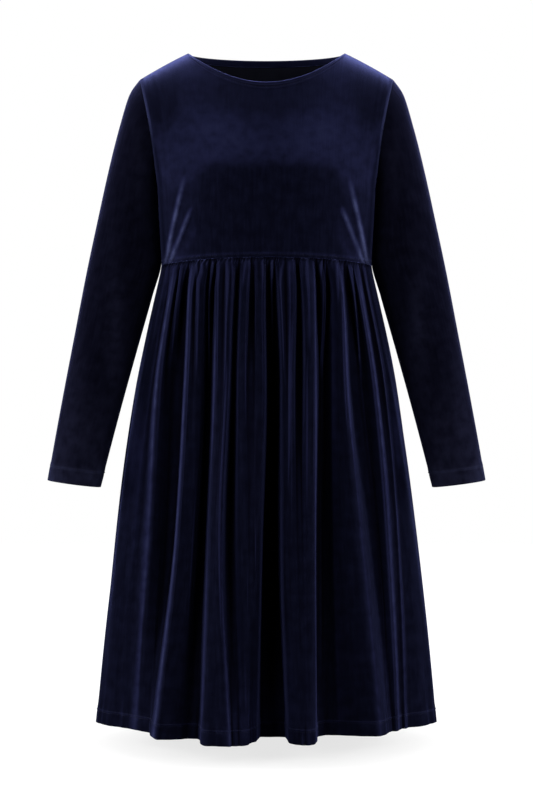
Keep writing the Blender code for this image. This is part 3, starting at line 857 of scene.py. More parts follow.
@dataclass(frozen=True)
class Bodice:
    """The bodice front and back, from the neckline and shoulder seams down to the waist seam."""

    neck_half_width: float = 0.118
    front_neck_drop: float = 0.054
    back_neck_drop: float = 0.001
    neck_curve: float = 0.82
    neck_hem: float = 0.0095
    neck_stitch: float = 0.0088
    waist_stitch: float = 0.0046
    shoulder_x: float = 0.190
    shoulder_z: float = -0.0395
    shoulder_slope: float = 0.48
    shoulder_rounding: float = 0.95
    underarm_x: float = 0.163
    underarm_z: float = -0.205
    armhole_hollow: float = 0.0045
    armhole_depth: float = 0.055
    waist_half_width: float = 0.157
    waist_side_z: float = -0.3195
    waist_rise: float = 0.0065
    levels: tuple[BodiceLevel, ...] = (
        BodiceLevel(-0.3195, 0.1150, 0.1000, 2.4),
        BodiceLevel(-0.260, 0.1255, 0.1075, 2.6),
        BodiceLevel(-0.220, 0.1330, 0.1150, 2.7),
        BodiceLevel(-0.190, 0.1388, 0.1205, 2.6),
        BodiceLevel(-0.172, 0.1402, 0.1245, 2.5),
        BodiceLevel(-0.150, 0.1372, 0.1285, 2.35),
        BodiceLevel(-0.100, 0.1268, 0.1335, 2.2),
        BodiceLevel(-0.050, 0.1185, 0.1330, 2.2),
        BodiceLevel(0.030, 0.1165, 0.1330, 2.2),
    )
    creases: tuple[Crease, ...] = (
        Crease(0.716, 0.420, 0.955, 0.000, 0.0044, 0.0032, onset=0.45, painted_light=0.95),
        Crease(0.664, 0.255, 0.900, 0.005, 0.0034, 0.0030, painted_light=0.55),
        Crease(0.600, 0.180, 0.800, 0.005, 0.0008, 0.0060, painted_light=0.03),
    )
    # painted light over the chest, where it faces up to the light
    chest_painted_light: float = 0.078
    shade_middle: float = 0.004  # middle of the painted shade below the bust, left without the chest's painted light
    shade_half_width: float = 0.106
    shade_top: float = -0.180
    shade_corner: float = 0.030
    shade_softness: float = 0.30  # share of the corner's radius over which it fades, each way
    # patches of painted light, and of painted shade where below 0
    front_patches: tuple[Patch, ...] = (
        Patch(0, -72, 95, 34, -0.14),
        Patch(-70, -128, 36, 40, 0.05),
        Patch(76, -124, 34, 38, 0.05),
        Patch(-34, -152, 28, 16, 0.04),
        Patch(50, -148, 26, 16, 0.03),
        Patch(-158, -64, 26, 48, -0.18),
        Patch(158, -64, 26, 48, -0.18),
        Patch(-141, -308, 9, 14, 0.25),
        Patch(141, -308, 9, 14, 0.25),
    )
    # patches of painted light, and of painted shade where below 0
    back_patches: tuple[Patch, ...] = (
        Patch(-66, -104, 46, 50, 0.06),
        Patch(72, -112, 42, 54, 0.06),
        Patch(4, -212, 60, 52, -0.05),
        Patch(-138, -306, 10, 14, 0.16),
        Patch(139, -308, 10, 14, 0.16),
    )
    neck_columns: int = 150
    shoulder_columns: int = 34
    rows: int = 114
    row_crowding: float = 1.5  # draws the rows together at the waist seam
    neck_crowding: float = 0.5  # draws the columns together at the neck corners
    side_crowding: float = 0.6  # and at the sides
    corner_reach: float = 0.006  # eases the folded neck edge into the shoulder seam
    corner_share: float = 0.15  # what is left of the fold's radius at the corner
    neck_run_on: float = 0.0012  # cloth past the fold, where the neck edge carries on
    neck_fade: float = 0.02  # share of the half width over which the neck's relief ends
    neck_stitched: float = 0.97  # share of the neckline that has stitches
    neck_step: float = 0.00040  # rise of the double cloth at the neck edge
    neck_step_half: float = 0.001
    neck_welts: tuple[Welt, ...] = (
        Welt(0.0, -0.00022, 0.0010),
        Welt(-0.0024, 0.00030, 0.0016),
        Welt(0.0026, 0.00022, 0.0018),
    )
    neck_wave: Wave = Wave(0.0029, 1.3, 0.021)
    neck_ripple: Welt = Welt(0.0, 0.00009, 0.0035)
    # painted highlight along the neck edge, and painted shade just below it
    neck_edge_painted_light: tuple[Welt, ...] = (Welt(0.0, 0.20, 0.0013), Welt(0.0040, -0.06, 0.0020))
    neck_row_painted_light: tuple[Welt, Welt] = (Welt(0.0, 0.07, 0.0018), Welt(0.0, 0.03, 0.0018))  # painted highlight along the neck's stitches, even and waved
    waist_step: float = 0.00055  # rise of the seam's layers below the waist stitches
    waist_step_run: float = 0.0015
    waist_welts: tuple[Welt, ...] = (Welt(0.0, -0.00050, 0.0007), Welt(0.0016, 0.00085, 0.0010))
    waist_wave: Wave = Wave(0.0034, 2.2, 0.013, 900.0)
    waist_pucker: Welt = Welt(0.0020, 0.00040, 0.0034)
    slow_wave: Wave = Wave(0.0105, 2.0, 0.03)
    waist_swell: Welt = Welt(0.004, 0.00030, 0.008)
    # painted highlight along the waist's stitches, even and waved
    waist_row_painted_light: tuple[Welt, Welt] = (Welt(0.0012, 0.07, 0.0018), Welt(0.0012, 0.04, 0.0018))
    rim_painted_light: float = 0.35  # painted highlight along the armhole seams
    rim_span: Span = (0.975, 0.995)
    rim_heights: Span = (-0.33, -0.25)
    chest_fade: float = 0.80  # how much of the chest's painted light is gone below the bust
    chest_fade_drops: Span = (0.185, 0.230)
    # painted light all over the back
    back_painted_light: float = 0.02
    back_crease: float = 0.35  # share of the front's creases that the back has
    # share of the creases' painted highlight that the back has
    back_crease_painted_light: float = 0.3

    @property
    def armhole_z(self) -> tuple[float, float]:
        """Height of the armhole's middle, and half of its length."""
        return (self.shoulder_z + self.underarm_z) / 2, (self.shoulder_z - self.underarm_z) / 2

    @property
    def edge_height(self) -> float:
        """Height from the waist's side point to the shoulder tip."""
        return self.shoulder_z - self.waist_side_z

    @property
    def neck_u(self) -> float:
        """Offset of the shoulder-neck point, as a share of the shoulder's half width."""
        return self.neck_half_width / self.shoulder_x

    def armhole(self, turn: np.ndarray) -> tuple[np.ndarray, np.ndarray, np.ndarray]:
        """Return x, depth and z of the armhole: angle 0 is the shoulder tip, pi the underarm."""
        middle_x = (self.shoulder_x + self.underarm_x) / 2
        half_x = (self.shoulder_x - self.underarm_x) / 2
        x = middle_x + half_x * np.cos(turn) - self.armhole_hollow * np.sin(turn) ** 2
        middle_z, half_z = self.armhole_z
        return x, self.armhole_depth * np.sin(turn), middle_z + half_z * np.cos(turn)

    def edge(self, w: np.ndarray) -> tuple[np.ndarray, np.ndarray]:
        """Return half width and edge depth at height w: the side seam below, the armhole above."""
        z = self.waist_side_z + w * self.edge_height
        middle_z, half_z = self.armhole_z
        armhole_x, armhole_depth, _ = self.armhole(np.arccos(np.clip((z - middle_z) / half_z, -1.0, 1.0)))
        side = np.clip((z - self.waist_side_z) / (self.underarm_z - self.waist_side_z), 0.0, 1.0)
        side_x = self.waist_half_width + (self.underarm_x - self.waist_half_width) * side
        above = z > self.underarm_z
        return np.where(above, armhole_x, side_x), np.where(above, armhole_depth, 0.0)

    def ridge_z(self, u: np.ndarray | float) -> np.ndarray:
        """Return the height of the shoulder ridge at offset u, carried on over the neck."""
        beyond = np.maximum(0.0, np.abs(u) * self.shoulder_x - self.neck_half_width)
        inside = np.maximum(0.0, 1 - (u / self.neck_u) ** 2)
        rise = self.shoulder_slope * self.neck_half_width / 2
        return rise * inside - self.shoulder_slope * beyond - self.shoulder_rounding * beyond**2

    def waist_z(self, u: np.ndarray | float) -> np.ndarray:
        """Return the height of the waist seam at offset u."""
        return self.waist_side_z + self.waist_rise * (1 - np.abs(u) ** 2)

    def neckline_w(self, s: np.ndarray, is_back: bool) -> np.ndarray:
        """Return the height w of the neckline at s of -1 to 1 across it."""
        u = s * self.neck_u
        fall = self.back_neck_drop if is_back else self.front_neck_drop
        z = -fall * np.maximum(0.0, 1 - s**2) ** self.neck_curve
        return np.minimum(1.0, (z - self.waist_z(u)) / (self.ridge_z(u) - self.waist_z(u)))

    def crease_height(self, u: np.ndarray, w: np.ndarray, is_painted_light: bool = False) -> np.ndarray:
        """Return the height of the pulled creases above the smooth front, or the painted highlight along
        them.
        """
        total = np.zeros(np.broadcast(u, w).shape)
        for crease in self.creases:
            along, aside = beside_line(
                (np.abs(u) - crease.start_u) * self.shoulder_x,
                (w - crease.start_w) * self.edge_height,
                (crease.end_u - crease.start_u) * self.shoulder_x,
                (crease.end_w - crease.start_w) * self.edge_height,
            )
            past_end = 1 + crease.overrun
            ends = ramp(along, 0.0, crease.onset) * ramp(-along, -past_end, crease.run_out - past_end)
            amount = crease.painted_light if is_painted_light else crease.height
            total = total + amount * ends * bump_at(aside, crease.half_width)
        return total

    def point(self, u: np.ndarray, w: np.ndarray, is_back: bool) -> np.ndarray:
        """Return points of the outer face: u of -1 to 1 across, w of 0 to 1 up."""
        edge_x, edge_depth = self.edge(w)
        z = self.waist_z(u) + w * (self.ridge_z(u) - self.waist_z(u))
        heights = column(self.levels, "z")
        factor = smooth(heights, column(self.levels, "back" if is_back else "front"), z)
        squareness = smooth(heights, column(self.levels, "squareness"), z)
        centre_depth = factor * np.sqrt(np.maximum(1e-12, 1 - w**2))
        reach = superellipse(np.minimum(0.999, edge_depth / centre_depth), squareness)
        depth = centre_depth * superellipse(reach * np.abs(u), squareness)
        depth = depth + self.crease_height(u, w) * (self.back_crease if is_back else 1.0)
        y = (depth + SEAM_GAP / 2) * (1 if is_back else -1)
        return np.stack(np.broadcast_arrays(u * edge_x, y, z), axis=-1)

    def columns(self) -> np.ndarray:
        """Return offsets across the bodice, closest at the neck corners and at the sides."""
        even = np.linspace(-1, 1, self.neck_columns + 1)
        drawn = self.neck_crowding
        neck = self.neck_u * ((1 - drawn) * even + drawn * np.sin(even * np.pi / 2))
        even = np.linspace(0, 1, self.shoulder_columns + 1)[1:]
        drawn = self.side_crowding
        side = self.neck_u + (1 - self.neck_u) * ((1 - drawn) * even + drawn * np.sin(even * np.pi / 2))
        return np.concatenate([-side[::-1], neck, side])

    def panel(self, is_back: bool) -> Cloth:
        """Return the outer face of one panel, its rows running down from the neckline."""
        u = self.columns()
        neckline = self.neckline_w(np.clip(u / self.neck_u, -1, 1), is_back)
        top = np.where(np.abs(u) < self.neck_u, neckline, 1.0)
        rows = np.sin(np.linspace(0, np.pi / 2, self.rows))[:, None] ** self.row_crowding
        heights = rows - (1 - top) * rows**3
        if is_back:
            u, heights = u[::-1], heights[:, ::-1]
        u = np.broadcast_to(u, heights.shape)
        points = self.point(u, heights, is_back)[::-1]
        painted_highlight = self.crease_height(u, heights, is_painted_light=True)[::-1]
        painted_highlight = (self.back_crease_painted_light if is_back else 1.0) * painted_highlight
        return Cloth(points).brushed_and_painted_light(painted_highlight + self.broad_painted_light(points, is_back))

    def broad_painted_light(self, points: np.ndarray, is_back: bool) -> np.ndarray:
        """Return the painted light over the chest, where the bust fills it, with its patches, and none in the
        painted shade below the bust.
        """
        if is_back:
            return self.back_painted_light + patched(self.back_patches, points)
        x, z = points[..., 0], points[..., 2]
        # the painted shade under the bust: a rectangle with rounded corners where the painted light is
        # dropped
        corner = self.shade_corner
        aside = np.maximum(0.0, np.abs(x - self.shade_middle) - self.shade_half_width + corner)
        above = np.maximum(0.0, z - self.shade_top + corner)
        below = ramp(-np.hypot(aside, above) / corner, -1 - self.shade_softness, -1 + self.shade_softness)
        chest = self.chest_painted_light * (1 - self.chest_fade * ramp(-z, *self.chest_fade_drops))
        return (chest + patched(self.front_patches, points)) * (1 - below)

    def sewn(self, is_back: bool) -> Cloth:
        """Return one panel with the relief of its stitched neck edge and waist seam, and painted highlights
        along its armholes, neck edge and stitches.
        """
        panel = self.panel(is_back)
        from_top = distances(panel.points)
        from_foot = from_top[-1] - from_top
        past_neck, past_waist = from_top - self.neck_stitch, from_foot - self.waist_stitch
        across, height = panel.points[..., 0], panel.points[..., 2]
        aside = np.abs(self.columns())
        in_neck = ramp(-aside, -self.neck_u, -self.neck_u + self.neck_fade)
        ripple = self.neck_wave.over(across)
        pucker = self.waist_wave.over(across, from_foot)
        neck = self.neck_step * (1 - ramp(past_neck, -self.neck_step_half, self.neck_step_half))
        neck = neck + welted(self.neck_welts, past_neck) + ripple * self.neck_ripple.over(past_neck)
        waist = self.waist_step * (1 - ramp(past_waist, 0.0, self.waist_step_run))
        waist = waist + welted(self.waist_welts, past_waist) + pucker * self.waist_pucker.over(from_foot)
        waist = waist + self.slow_wave.over(across) * self.waist_swell.over(from_foot)
        rim = self.rim_painted_light * ramp(aside, *self.rim_span) * ramp(height, *self.rim_heights)
        even, waved = (welt.over(past_neck) for welt in self.neck_row_painted_light)
        edge = in_neck * (welted(self.neck_edge_painted_light, from_top) + even + ripple * waved)
        even, waved = (welt.over(past_waist) for welt in self.waist_row_painted_light)
        return panel.raised(in_neck * neck + waist).brushed_and_painted_light(rim + edge + even + pucker * waved)

    def stitch_lines(self, edge: Edge) -> list[Line]:
        """Return the front and back stitch lines of the neck (top) or of the waist seam (foot)."""
        lines = []
        for is_back in (False, True):
            sewn = self.sewn(is_back)
            if edge is Edge.FOOT:
                lines.append(sewn.line(edge, self.waist_stitch))
                continue
            inside = np.abs(self.columns()) < self.neck_u * self.neck_stitched
            points, normals = sewn.line(edge, self.neck_stitch)
            lines.append((points[inside], normals[inside]))
        return lines

    def dressed(self, is_back: bool) -> Cloth:
        """Return one sewn panel with its seams turned in and its neck edge folded under."""
        panel = self.sewn(is_back)
        aside = np.abs(self.columns())
        in_neck = aside < self.neck_u
        clear = ramp(np.abs(aside - self.neck_u) * self.shoulder_x, 0.0, self.corner_reach)
        run_on = np.where(in_neck, self.neck_run_on, SEAM_ALLOWANCE) * clear
        turn = np.where(in_neck, np.pi, np.pi / 2)
        panel = panel.turned(Edge.TOP, turn, HEM_RADIUS * at_least(self.corner_share, clear), run_on)
        panel = panel.turned(Edge.FOOT, np.pi / 2, SEAM_RADIUS, SEAM_ALLOWANCE)
        for edge in (Edge.LEFT, Edge.RIGHT):
            panel = panel.turned(edge, np.pi / 2, SEAM_RADIUS, SEAM_ALLOWANCE)
        return panel


# ---------------------------------------------------------------- sleeves
@dataclass(frozen=True)
class SleeveRing:
    """One cross-section of a sleeve, from the outer arm line to the inner one."""

    outer_x: float
    outer_z: float
    inner_x: float
    inner_z: float
    half_depth: float
    forward: float


@dataclass(frozen=True)
class SleeveCrease:
    """One soft fold of a sleeve: where it starts and ends round and down the sleeve."""

    start_turn: float
    start_place: float
    end_turn: float
    end_place: float
    height: float
    half_width: float


@dataclass(frozen=True)
class Sleeve:
    """A long set-in sleeve as a tube of rings from the armhole to the cuff."""

    rings: tuple[SleeveRing, ...] = (
        SleeveRing(0.1900, -0.0395, 0.1630, -0.2050, 0.0550, 0.000),
        SleeveRing(0.2042, -0.0600, 0.1627, -0.2140, 0.0580, 0.000),
        SleeveRing(0.2211, -0.1140, 0.1613, -0.2400, 0.0600, 0.000),
        SleeveRing(0.2376, -0.1800, 0.1594, -0.2750, 0.0595, 0.000),
        SleeveRing(0.2528, -0.2500, 0.1576, -0.3120, 0.0570, 0.002),
        SleeveRing(0.2694, -0.3300, 0.1712, -0.3650, 0.0530, 0.006),
        SleeveRing(0.2861, -0.4200, 0.1928, -0.4430, 0.0480, 0.012),
        SleeveRing(0.3026, -0.5100, 0.2164, -0.5300, 0.0430, 0.019),
        SleeveRing(0.3148, -0.5800, 0.2336, -0.5970, 0.0375, 0.026),
        SleeveRing(0.3246, -0.6380, 0.2466, -0.6485, 0.0335, 0.030),
    )
    creases: tuple[SleeveCrease, ...] = (
        SleeveCrease(2.55, 3.1, 0.75, 4.9, 0.0022, 0.010),
        SleeveCrease(2.75, 4.0, 1.05, 5.6, 0.0020, 0.011),
        SleeveCrease(2.20, 2.4, 0.55, 4.1, 0.0014, 0.012),
        SleeveCrease(2.60, 5.2, 1.30, 6.3, 0.0012, 0.010),
        SleeveCrease(3.75, 3.3, 5.40, 5.0, 0.0022, 0.011),
        SleeveCrease(3.60, 4.4, 5.10, 5.9, 0.0018, 0.011),
        SleeveCrease(4.10, 2.2, 5.70, 3.8, 0.0014, 0.012),
    )
    # patches of painted light
    patches: tuple[Patch, ...] = (
        Patch(272, -590, 70, 75, 0.07),
        Patch(290, -636, 80, 14, 0.07),
        Patch(324, -620, 14, 60, 0.17),
        Patch(250, -640, 12, 26, 0.12),
        Patch(290, -430, 16, 110, 0.04),
        Patch(186, -180, 12, 60, 0.04),
        Patch(222, -420, 14, 90, 0.06),
    )
    armhole_hollow: float = 0.0045
    armhole_gap: float = 0.00006  # clear space beside the armhole's edge
    head_rows: float = 2.0
    cuff_hem: float = 0.022
    # painted highlight on the cuff's hem
    hem_painted_light: float = 0.12
    columns: int = 150
    rows: int = 170
    row_crowding: float = 1.25  # draws the rows together at the cuff
    round_reach: float = 0.055  # metres of cloth for each radian round the arm
    ring_step: float = 0.075  # metres down the arm for each ring
    crease_end: Span = (-0.10, 0.35)  # shares of a crease's length between which an end rises

    def ring(self, place: float) -> np.ndarray:
        """Return the +X sleeve's outer-face points at a place counted in rings."""
        index = np.arange(len(self.rings))
        names = ("outer_x", "outer_z", "inner_x", "inner_z", "half_depth", "forward")
        outer_x, outer_z, inner_x, inner_z, half_depth, forward = (
            smooth(index, column(self.rings, name), place) for name in names
        )
        turn = self.turns()
        head = max(0.0, 1 - place / self.head_rows)
        x = (outer_x + inner_x) / 2 + (outer_x - inner_x) / 2 * np.cos(turn)
        x = x + head * (self.armhole_gap - self.armhole_hollow * np.sin(turn) ** 2)
        z = (outer_z + inner_z) / 2 + (outer_z - inner_z) / 2 * np.cos(turn)
        return np.stack([x, -forward - half_depth * np.sin(turn), z], axis=-1)

    def turns(self) -> np.ndarray:
        """Return the angles round the sleeve: 0 is the outer arm line, a quarter turn the front."""
        return np.linspace(0, 2 * np.pi, self.columns, endpoint=False)

    def sewn(self, side: int) -> Cloth:
        """Return one sleeve with its soft folds, the relief of its stitched cuff and its painted light.

        Args:
            side: 1 for the wearer's left sleeve, -1 for the right one.

        Returns:
            The sleeve's outer face.
        """
        last = len(self.rings) - 1
        places = last * (1 - np.linspace(1, 0, self.rows) ** self.row_crowding)
        points = np.array([self.ring(place) for place in places])
        points[..., 0] *= side
        if side > 0:
            points = points[:, ::-1]
        tube = Cloth(points, closed=True)
        turn = self.turns()[::-1] if side > 0 else self.turns()
        from_top = distances(points)
        from_foot = from_top[-1] - from_top
        row = self.cuff_hem - STITCH_INSET
        relief = hem_relief(from_foot, row)
        for crease in self.creases:
            along, aside = beside_line(
                (turn[None, :] - crease.start_turn) * self.round_reach,
                (places[:, None] - crease.start_place) * self.ring_step,
                (crease.end_turn - crease.start_turn) * self.round_reach,
                (crease.end_place - crease.start_place) * self.ring_step,
            )
            ends = ramp(along, *self.crease_end) * ramp(1 - along, *self.crease_end)
            relief = relief + crease.height * ends * bump_at(aside, crease.half_width)
        mirrored = points * np.array([side, 1.0, 1.0])
        painted_light = self.hem_painted_light * HEM_PAINTED_LIGHT.over(from_foot - row) + patched(self.patches, mirrored)
        return tube.raised(relief).brushed_and_painted_light(painted_light)

    def tube(self, side: int) -> Cloth:
        """Return one sewn sleeve with its head turned in at the armhole and its cuff folded under."""
        tube = self.sewn(side)
        tube = tube.turned(Edge.TOP, np.pi / 2, SEAM_RADIUS, SEAM_ALLOWANCE)
        return tube.turned(Edge.FOOT, np.pi, HEM_RADIUS, self.cuff_hem)


# ---------------------------------------------------------------- skirt
@dataclass(frozen=True)
class SkirtLevel:
    """Half width of the skirt at one height, side seam to centre."""

    z: float
    half_width: float


@dataclass(frozen=True)
class Fold:
    """One ridge or valley line of the skirt, from the waist seam to the hem, in millimetres.

    The x columns give its place across the skirt at four heights, and the depth columns how
    far it stands there from the plane of the side seams.  The last two columns give the painted
    highlight along it on the upper and on the lower half.
    """

    x_high: float
    x_mid: float
    x_low: float
    x_hem: float
    depth_high: float
    depth_mid: float
    depth_low: float
    depth_hem: float
    painted_light: float = 0.0
    painted_light_low: float = 0.0


@dataclass(frozen=True)
class Gather:
    """One small ridge that runs down from the waist seam and dies out, in millimetres."""

    x_seam: float
    x_below: float
    height: float
    half_width: float
    length: float

    def over(self, x: np.ndarray, drop: np.ndarray | float, run: float) -> np.ndarray:
        """Return shares of the ridge's height, for places in metres and the drop where x_below holds."""
        middle = self.x_seam + (self.x_below - self.x_seam) * drop / run
        return bump_at(1000 * drop, self.length) * bump_at(1000 * x - middle, self.half_width)


FRONT_FOLDS = (
    Fold(-169.5, -195.5, -226, -254.3, 0, 0, 0, 0),  # side seam
    Fold(-168, -193.5, -223.5, -252.6, 16, 17, 15, 14),
    Fold(-163, -188.5, -218, -243, 33, 34, 35, 36),
    Fold(-158, -181, -209, -228, 44, 47, 50, 52),
    Fold(-154, -176, -201.5, -221, 57, 55, 56, 56),
    Fold(-150, -171, -194, -213, 60, 60, 62, 62, 0.06, 0.04),
    Fold(-146.5, -166.5, -185, -206, 62, 63, 66, 67),
    Fold(-142, -160, -173.5, -192, 77, 80, 84, 84, 0.50, 0.26),
    Fold(-138, -154.5, -165.5, -184, 80, 83, 90, 95),  # side crease
    Fold(-133.5, -148.5, -155, -171, 74, 76, 85, 106),
    Fold(-129.5, -142, -150, -169.5, 88, 72, 80, 111),
    Fold(-125.5, -136, -145.5, -168, 88, 68, 77, 117),
    Fold(-121, -129, -139.5, -166.5, 78, 68, 78, 122),
    Fold(-117, -122, -134.5, -165.8, 78, 71, 80, 126),
    Fold(-113, -117.5, -129.5, -160.5, 104, 101, 124, 154, 0.42, 0.50),  # first flute
    Fold(-108.5, -113, -124.5, -153.5, 114, 112, 138, 168),
    Fold(-103.5, -107.5, -115, -141, 110, 112, 138, 167),
    Fold(-98.5, -101.5, -108.5, -130, 121, 114, 138, 166),
    Fold(-94.5, -97, -105.5, -124, 116, 113, 137, 165),
    Fold(-91.5, -93, -103, -119, 112, 110, 134, 163),
    Fold(-88, -89, -98.5, -111, 98, 98, 118, 158),
    Fold(-85, -86.5, -95, -106, 97, 94, 112, 157),
    Fold(-82.5, -84, -92, -101, 108, 93, 110, 158),
    Fold(-79.5, -81.5, -89.5, -97.5, 99, 92, 110, 160),
    Fold(-76.5, -78.5, -86.5, -95, 98, 96, 114, 164),
    Fold(-74, -75, -83, -92, 114, 122, 150, 196, 0.32, 0.16),  # second flute
    Fold(-70, -70.5, -79, -86.5, 124, 134, 166, 216),
    Fold(-62.5, -64, -73, -74, 121, 136, 170, 220),
    Fold(-57, -60.5, -69.5, -65, 127, 138, 173, 222),
    Fold(-53.5, -58, -66.5, -58, 124, 138, 174, 223),
    Fold(-49.5, -54.5, -62.5, -51.5, 122, 133, 169, 223, 0.22, 0.20),
    Fold(-46.8, -51.3, -58, -47.5, 108, 114, 148, 219),
    Fold(-43, -47.5, -52, -43, 103, 106, 142, 219),
    Fold(-39.8, -43.5, -44, -38.5, 108, 114, 150, 217),
    Fold(-37.5, -41, -40, -35, 118, 130, 164, 216, 0.15, 0.05),  # third flute
    Fold(-33.5, -36, -34, -29.5, 125, 139, 174, 213),
    Fold(-27.5, -29.5, -27.5, -26, 126, 141, 175, 208),
    Fold(-24.5, -26, -24.5, -24.5, 114, 138, 174, 204),
    Fold(-17.5, -18.5, -18.5, -22, 113, 138, 174, 196),
    Fold(-14, -14.5, -15.5, -20, 125, 141, 175, 191),
    Fold(-6.5, -5.5, -11, -15, 125, 141, 172, 184),
    Fold(-3, -2, -8, -12, 116, 131, 158, 174, 0.14, 0.08),
    Fold(-0.5, 0.8, -5, -8, 98, 94, 102, 144),  # centre valley
    Fold(4.5, 6, 2, 4, 96, 92, 101, 143),
    Fold(7.5, 9.5, 7, 11, 106, 93, 101, 142),
    Fold(11, 14, 12, 19, 99, 94, 101, 143),
    Fold(14.5, 17.5, 15.8, 27, 102, 100, 104, 146),
    Fold(17.5, 20.5, 19.5, 30, 116, 122, 148, 172, 0.22, 0.22),  # fourth flute
    Fold(21, 25, 24.5, 33.5, 124, 137, 167, 197),
    Fold(28, 30, 29.5, 37.5, 119, 139, 171, 205),
    Fold(34, 32.5, 32.5, 41.5, 126, 141, 172, 209),
    Fold(39.5, 35, 35.5, 45.5, 125, 140, 173, 211, 0.12, 0.00),
    Fold(42.5, 38.5, 39.5, 48.5, 116, 133, 172, 212),
    Fold(45, 42.5, 44.5, 51, 98, 119, 169, 212),
    Fold(49, 50, 50, 54, 98, 119, 169, 212),
    Fold(51.8, 54.5, 54, 57.5, 114, 135, 171, 212, 0.22, 0.02),  # fifth flute
    Fold(55.5, 58, 58, 61, 124, 140, 173, 211),
    Fold(60.5, 62.5, 62, 64, 129, 140, 173, 209),
    Fold(66.5, 68, 66.8, 67, 124, 139, 170, 202),
    Fold(70, 71.5, 70.2, 69, 116, 128, 158, 190, 0.24, 0.26),
    Fold(72.8, 74.3, 73, 72, 94, 92, 102, 148),
    Fold(77.5, 76.5, 76, 75, 90, 86, 96, 142),
    Fold(81, 78.5, 78.5, 78, 108, 85, 95, 138),
    Fold(84.5, 80.5, 81, 81, 108, 85, 94, 134),
    Fold(87.5, 84, 85, 86, 88, 84, 97, 130),
    Fold(91.5, 89, 90.5, 95, 88, 90, 105, 129),
    Fold(95, 94.5, 97, 105, 100, 104, 117, 130, 0.18, 0.05),  # sixth flute
    Fold(103.5, 106, 116, 134, 112, 112, 126, 137),
    Fold(108.5, 113, 128, 153, 111, 115, 127, 139),
    Fold(111.5, 118, 138, 163, 104, 106, 122, 136, 0.36, 0.08),
    Fold(114.5, 123, 146.5, 170.5, 86, 84, 104, 124),
    Fold(119, 130, 153, 175, 76, 74, 90, 114),
    Fold(124.5, 136.5, 158.5, 177.5, 76, 70, 83, 108),
    Fold(127.5, 140, 161.5, 179, 88, 70, 82, 105, 0.10, 0.06),
    Fold(130, 143.5, 164.5, 180.5, 80, 72, 83, 102),
    Fold(132.5, 148, 167.5, 183, 76, 76, 87, 98),
    Fold(136, 155, 174, 188, 84, 86, 93, 96),  # side crease
    Fold(139.5, 160.5, 179, 192, 79, 81, 87, 89, 0.40, 0.26),
    Fold(144.5, 165, 185, 196, 64, 66, 74, 76),
    Fold(148, 170, 189.5, 200, 62, 64, 71, 73),
    Fold(151, 174, 193, 203.5, 64, 65, 71, 72, 0.16, 0.14),
    Fold(154.5, 179, 198, 209, 52, 54, 60, 62),
    Fold(158.5, 183.5, 210, 229, 46, 47, 51, 52),
    Fold(163, 188.5, 218, 243, 34, 34, 34, 34),
    Fold(168, 193.5, 223.5, 252.6, 17, 17, 15, 13),
    Fold(169.5, 195.5, 226, 254.3, 0, 0, 0, 0),  # side seam
)
FRONT_GATHERS = (
    Gather(-144, -153.5, 1.6, 2.4, 40),
    Gather(-137, -144, 2, 2.6, 45),
    Gather(-131, -141.5, 2.2, 2.2, 22),
    Gather(-123.5, -128, 2.2, 2.4, 45),
    Gather(-115.5, -119, 1.2, 1.8, 10),
    Gather(-109.7, -113.5, 2, 2.2, 40),
    Gather(-101.3, -98.5, 1.7, 2.6, 60),
    Gather(-93.7, -91.5, 1.7, 2.4, 30),
    Gather(-87.2, -86, 1.6, 1.8, 9),
    Gather(-77.5, -82.4, 1.8, 2, 40),
    Gather(-68.5, -72, 2, 2.2, 40),
    Gather(-56.5, -56.3, 2.4, 2.8, 48),
    Gather(-50, -48.3, 1.8, 2.2, 40),
    Gather(-42.3, -43.8, 1.4, 2, 14),
    Gather(-35.4, -35, 1.4, 1.8, 8),
    Gather(-27.5, -36.1, 2.4, 2.4, 40),
    Gather(-24.5, -26.5, 1.8, 2, 45),
    Gather(-16.4, -14.7, 1.6, 2.2, 45),
    Gather(-6.7, -4.5, 1.6, 2, 40),
    Gather(0.6, -0.6, 1.6, 1.8, 10),
    Gather(8.6, 7.2, 1.8, 2.2, 40),
    Gather(13, 15.3, 1.4, 2, 30),
    Gather(24.6, 18.2, 2.2, 2.2, 40),
    Gather(33.5, 33.9, 1.8, 2.6, 55),
    Gather(38.1, 40.9, 1.8, 2, 40),
    Gather(44, 46.5, 1.2, 1.6, 7),
    Gather(51, 51.7, 1.8, 2, 40),
    Gather(56.6, 60.3, 2.6, 2.6, 42),
    Gather(67.4, 70.3, 2, 2.2, 40),
    Gather(79.3, 77, 1.8, 2, 18),
    Gather(85.6, 83.2, 1.6, 2, 40),
    Gather(94.5, 95.5, 2.2, 2.2, 10),
    Gather(100.3, 104, 2.6, 2.8, 42),
    Gather(109.2, 111.5, 1.8, 2.2, 40),
    Gather(115.8, 117.5, 1.2, 1.8, 7),
    Gather(122.6, 127.6, 2.2, 2.2, 45),
    Gather(130.8, 141.5, 2.2, 2.4, 50),
    Gather(141.1, 151.5, 1.8, 2.2, 45),
    Gather(149.5, 160, 1.4, 2.2, 20),
)
# patches of painted light, and of painted shade where below 0
FRONT_PATCHES = (
    Patch(-196, -580, 12, 64, 0.13),
    Patch(196, -550, 12, 70, 0.11),
    Patch(-12, -620, 7, 90, -0.25),
    Patch(-84, -640, 7, 110, -0.20),
    Patch(-170, -880, 15, 70, -0.15),
    Patch(177, -860, 14, 120, 0.04),
    Patch(-204, -860, 12, 70, -0.10),
    Patch(26, -930, 9, 60, 0.08),
    Patch(-6, -968, 44, 40, 0.05),
    Patch(120, -640, 9, 80, -0.12),
    Patch(-150, -350, 16, 20, 0.03),
    Patch(152, -352, 14, 20, 0.03),
)
# patches of painted light, and of painted shade where below 0
BACK_PATCHES = (
    Patch(-194, -600, 13, 80, 0.07),
    Patch(192, -560, 12, 64, 0.07),
    Patch(-58, -700, 8, 90, 0.02),
    Patch(28, -840, 12, 70, 0.03),
    Patch(94, -650, 9, 80, -0.12),
    Patch(-126, -820, 12, 70, -0.10),
)
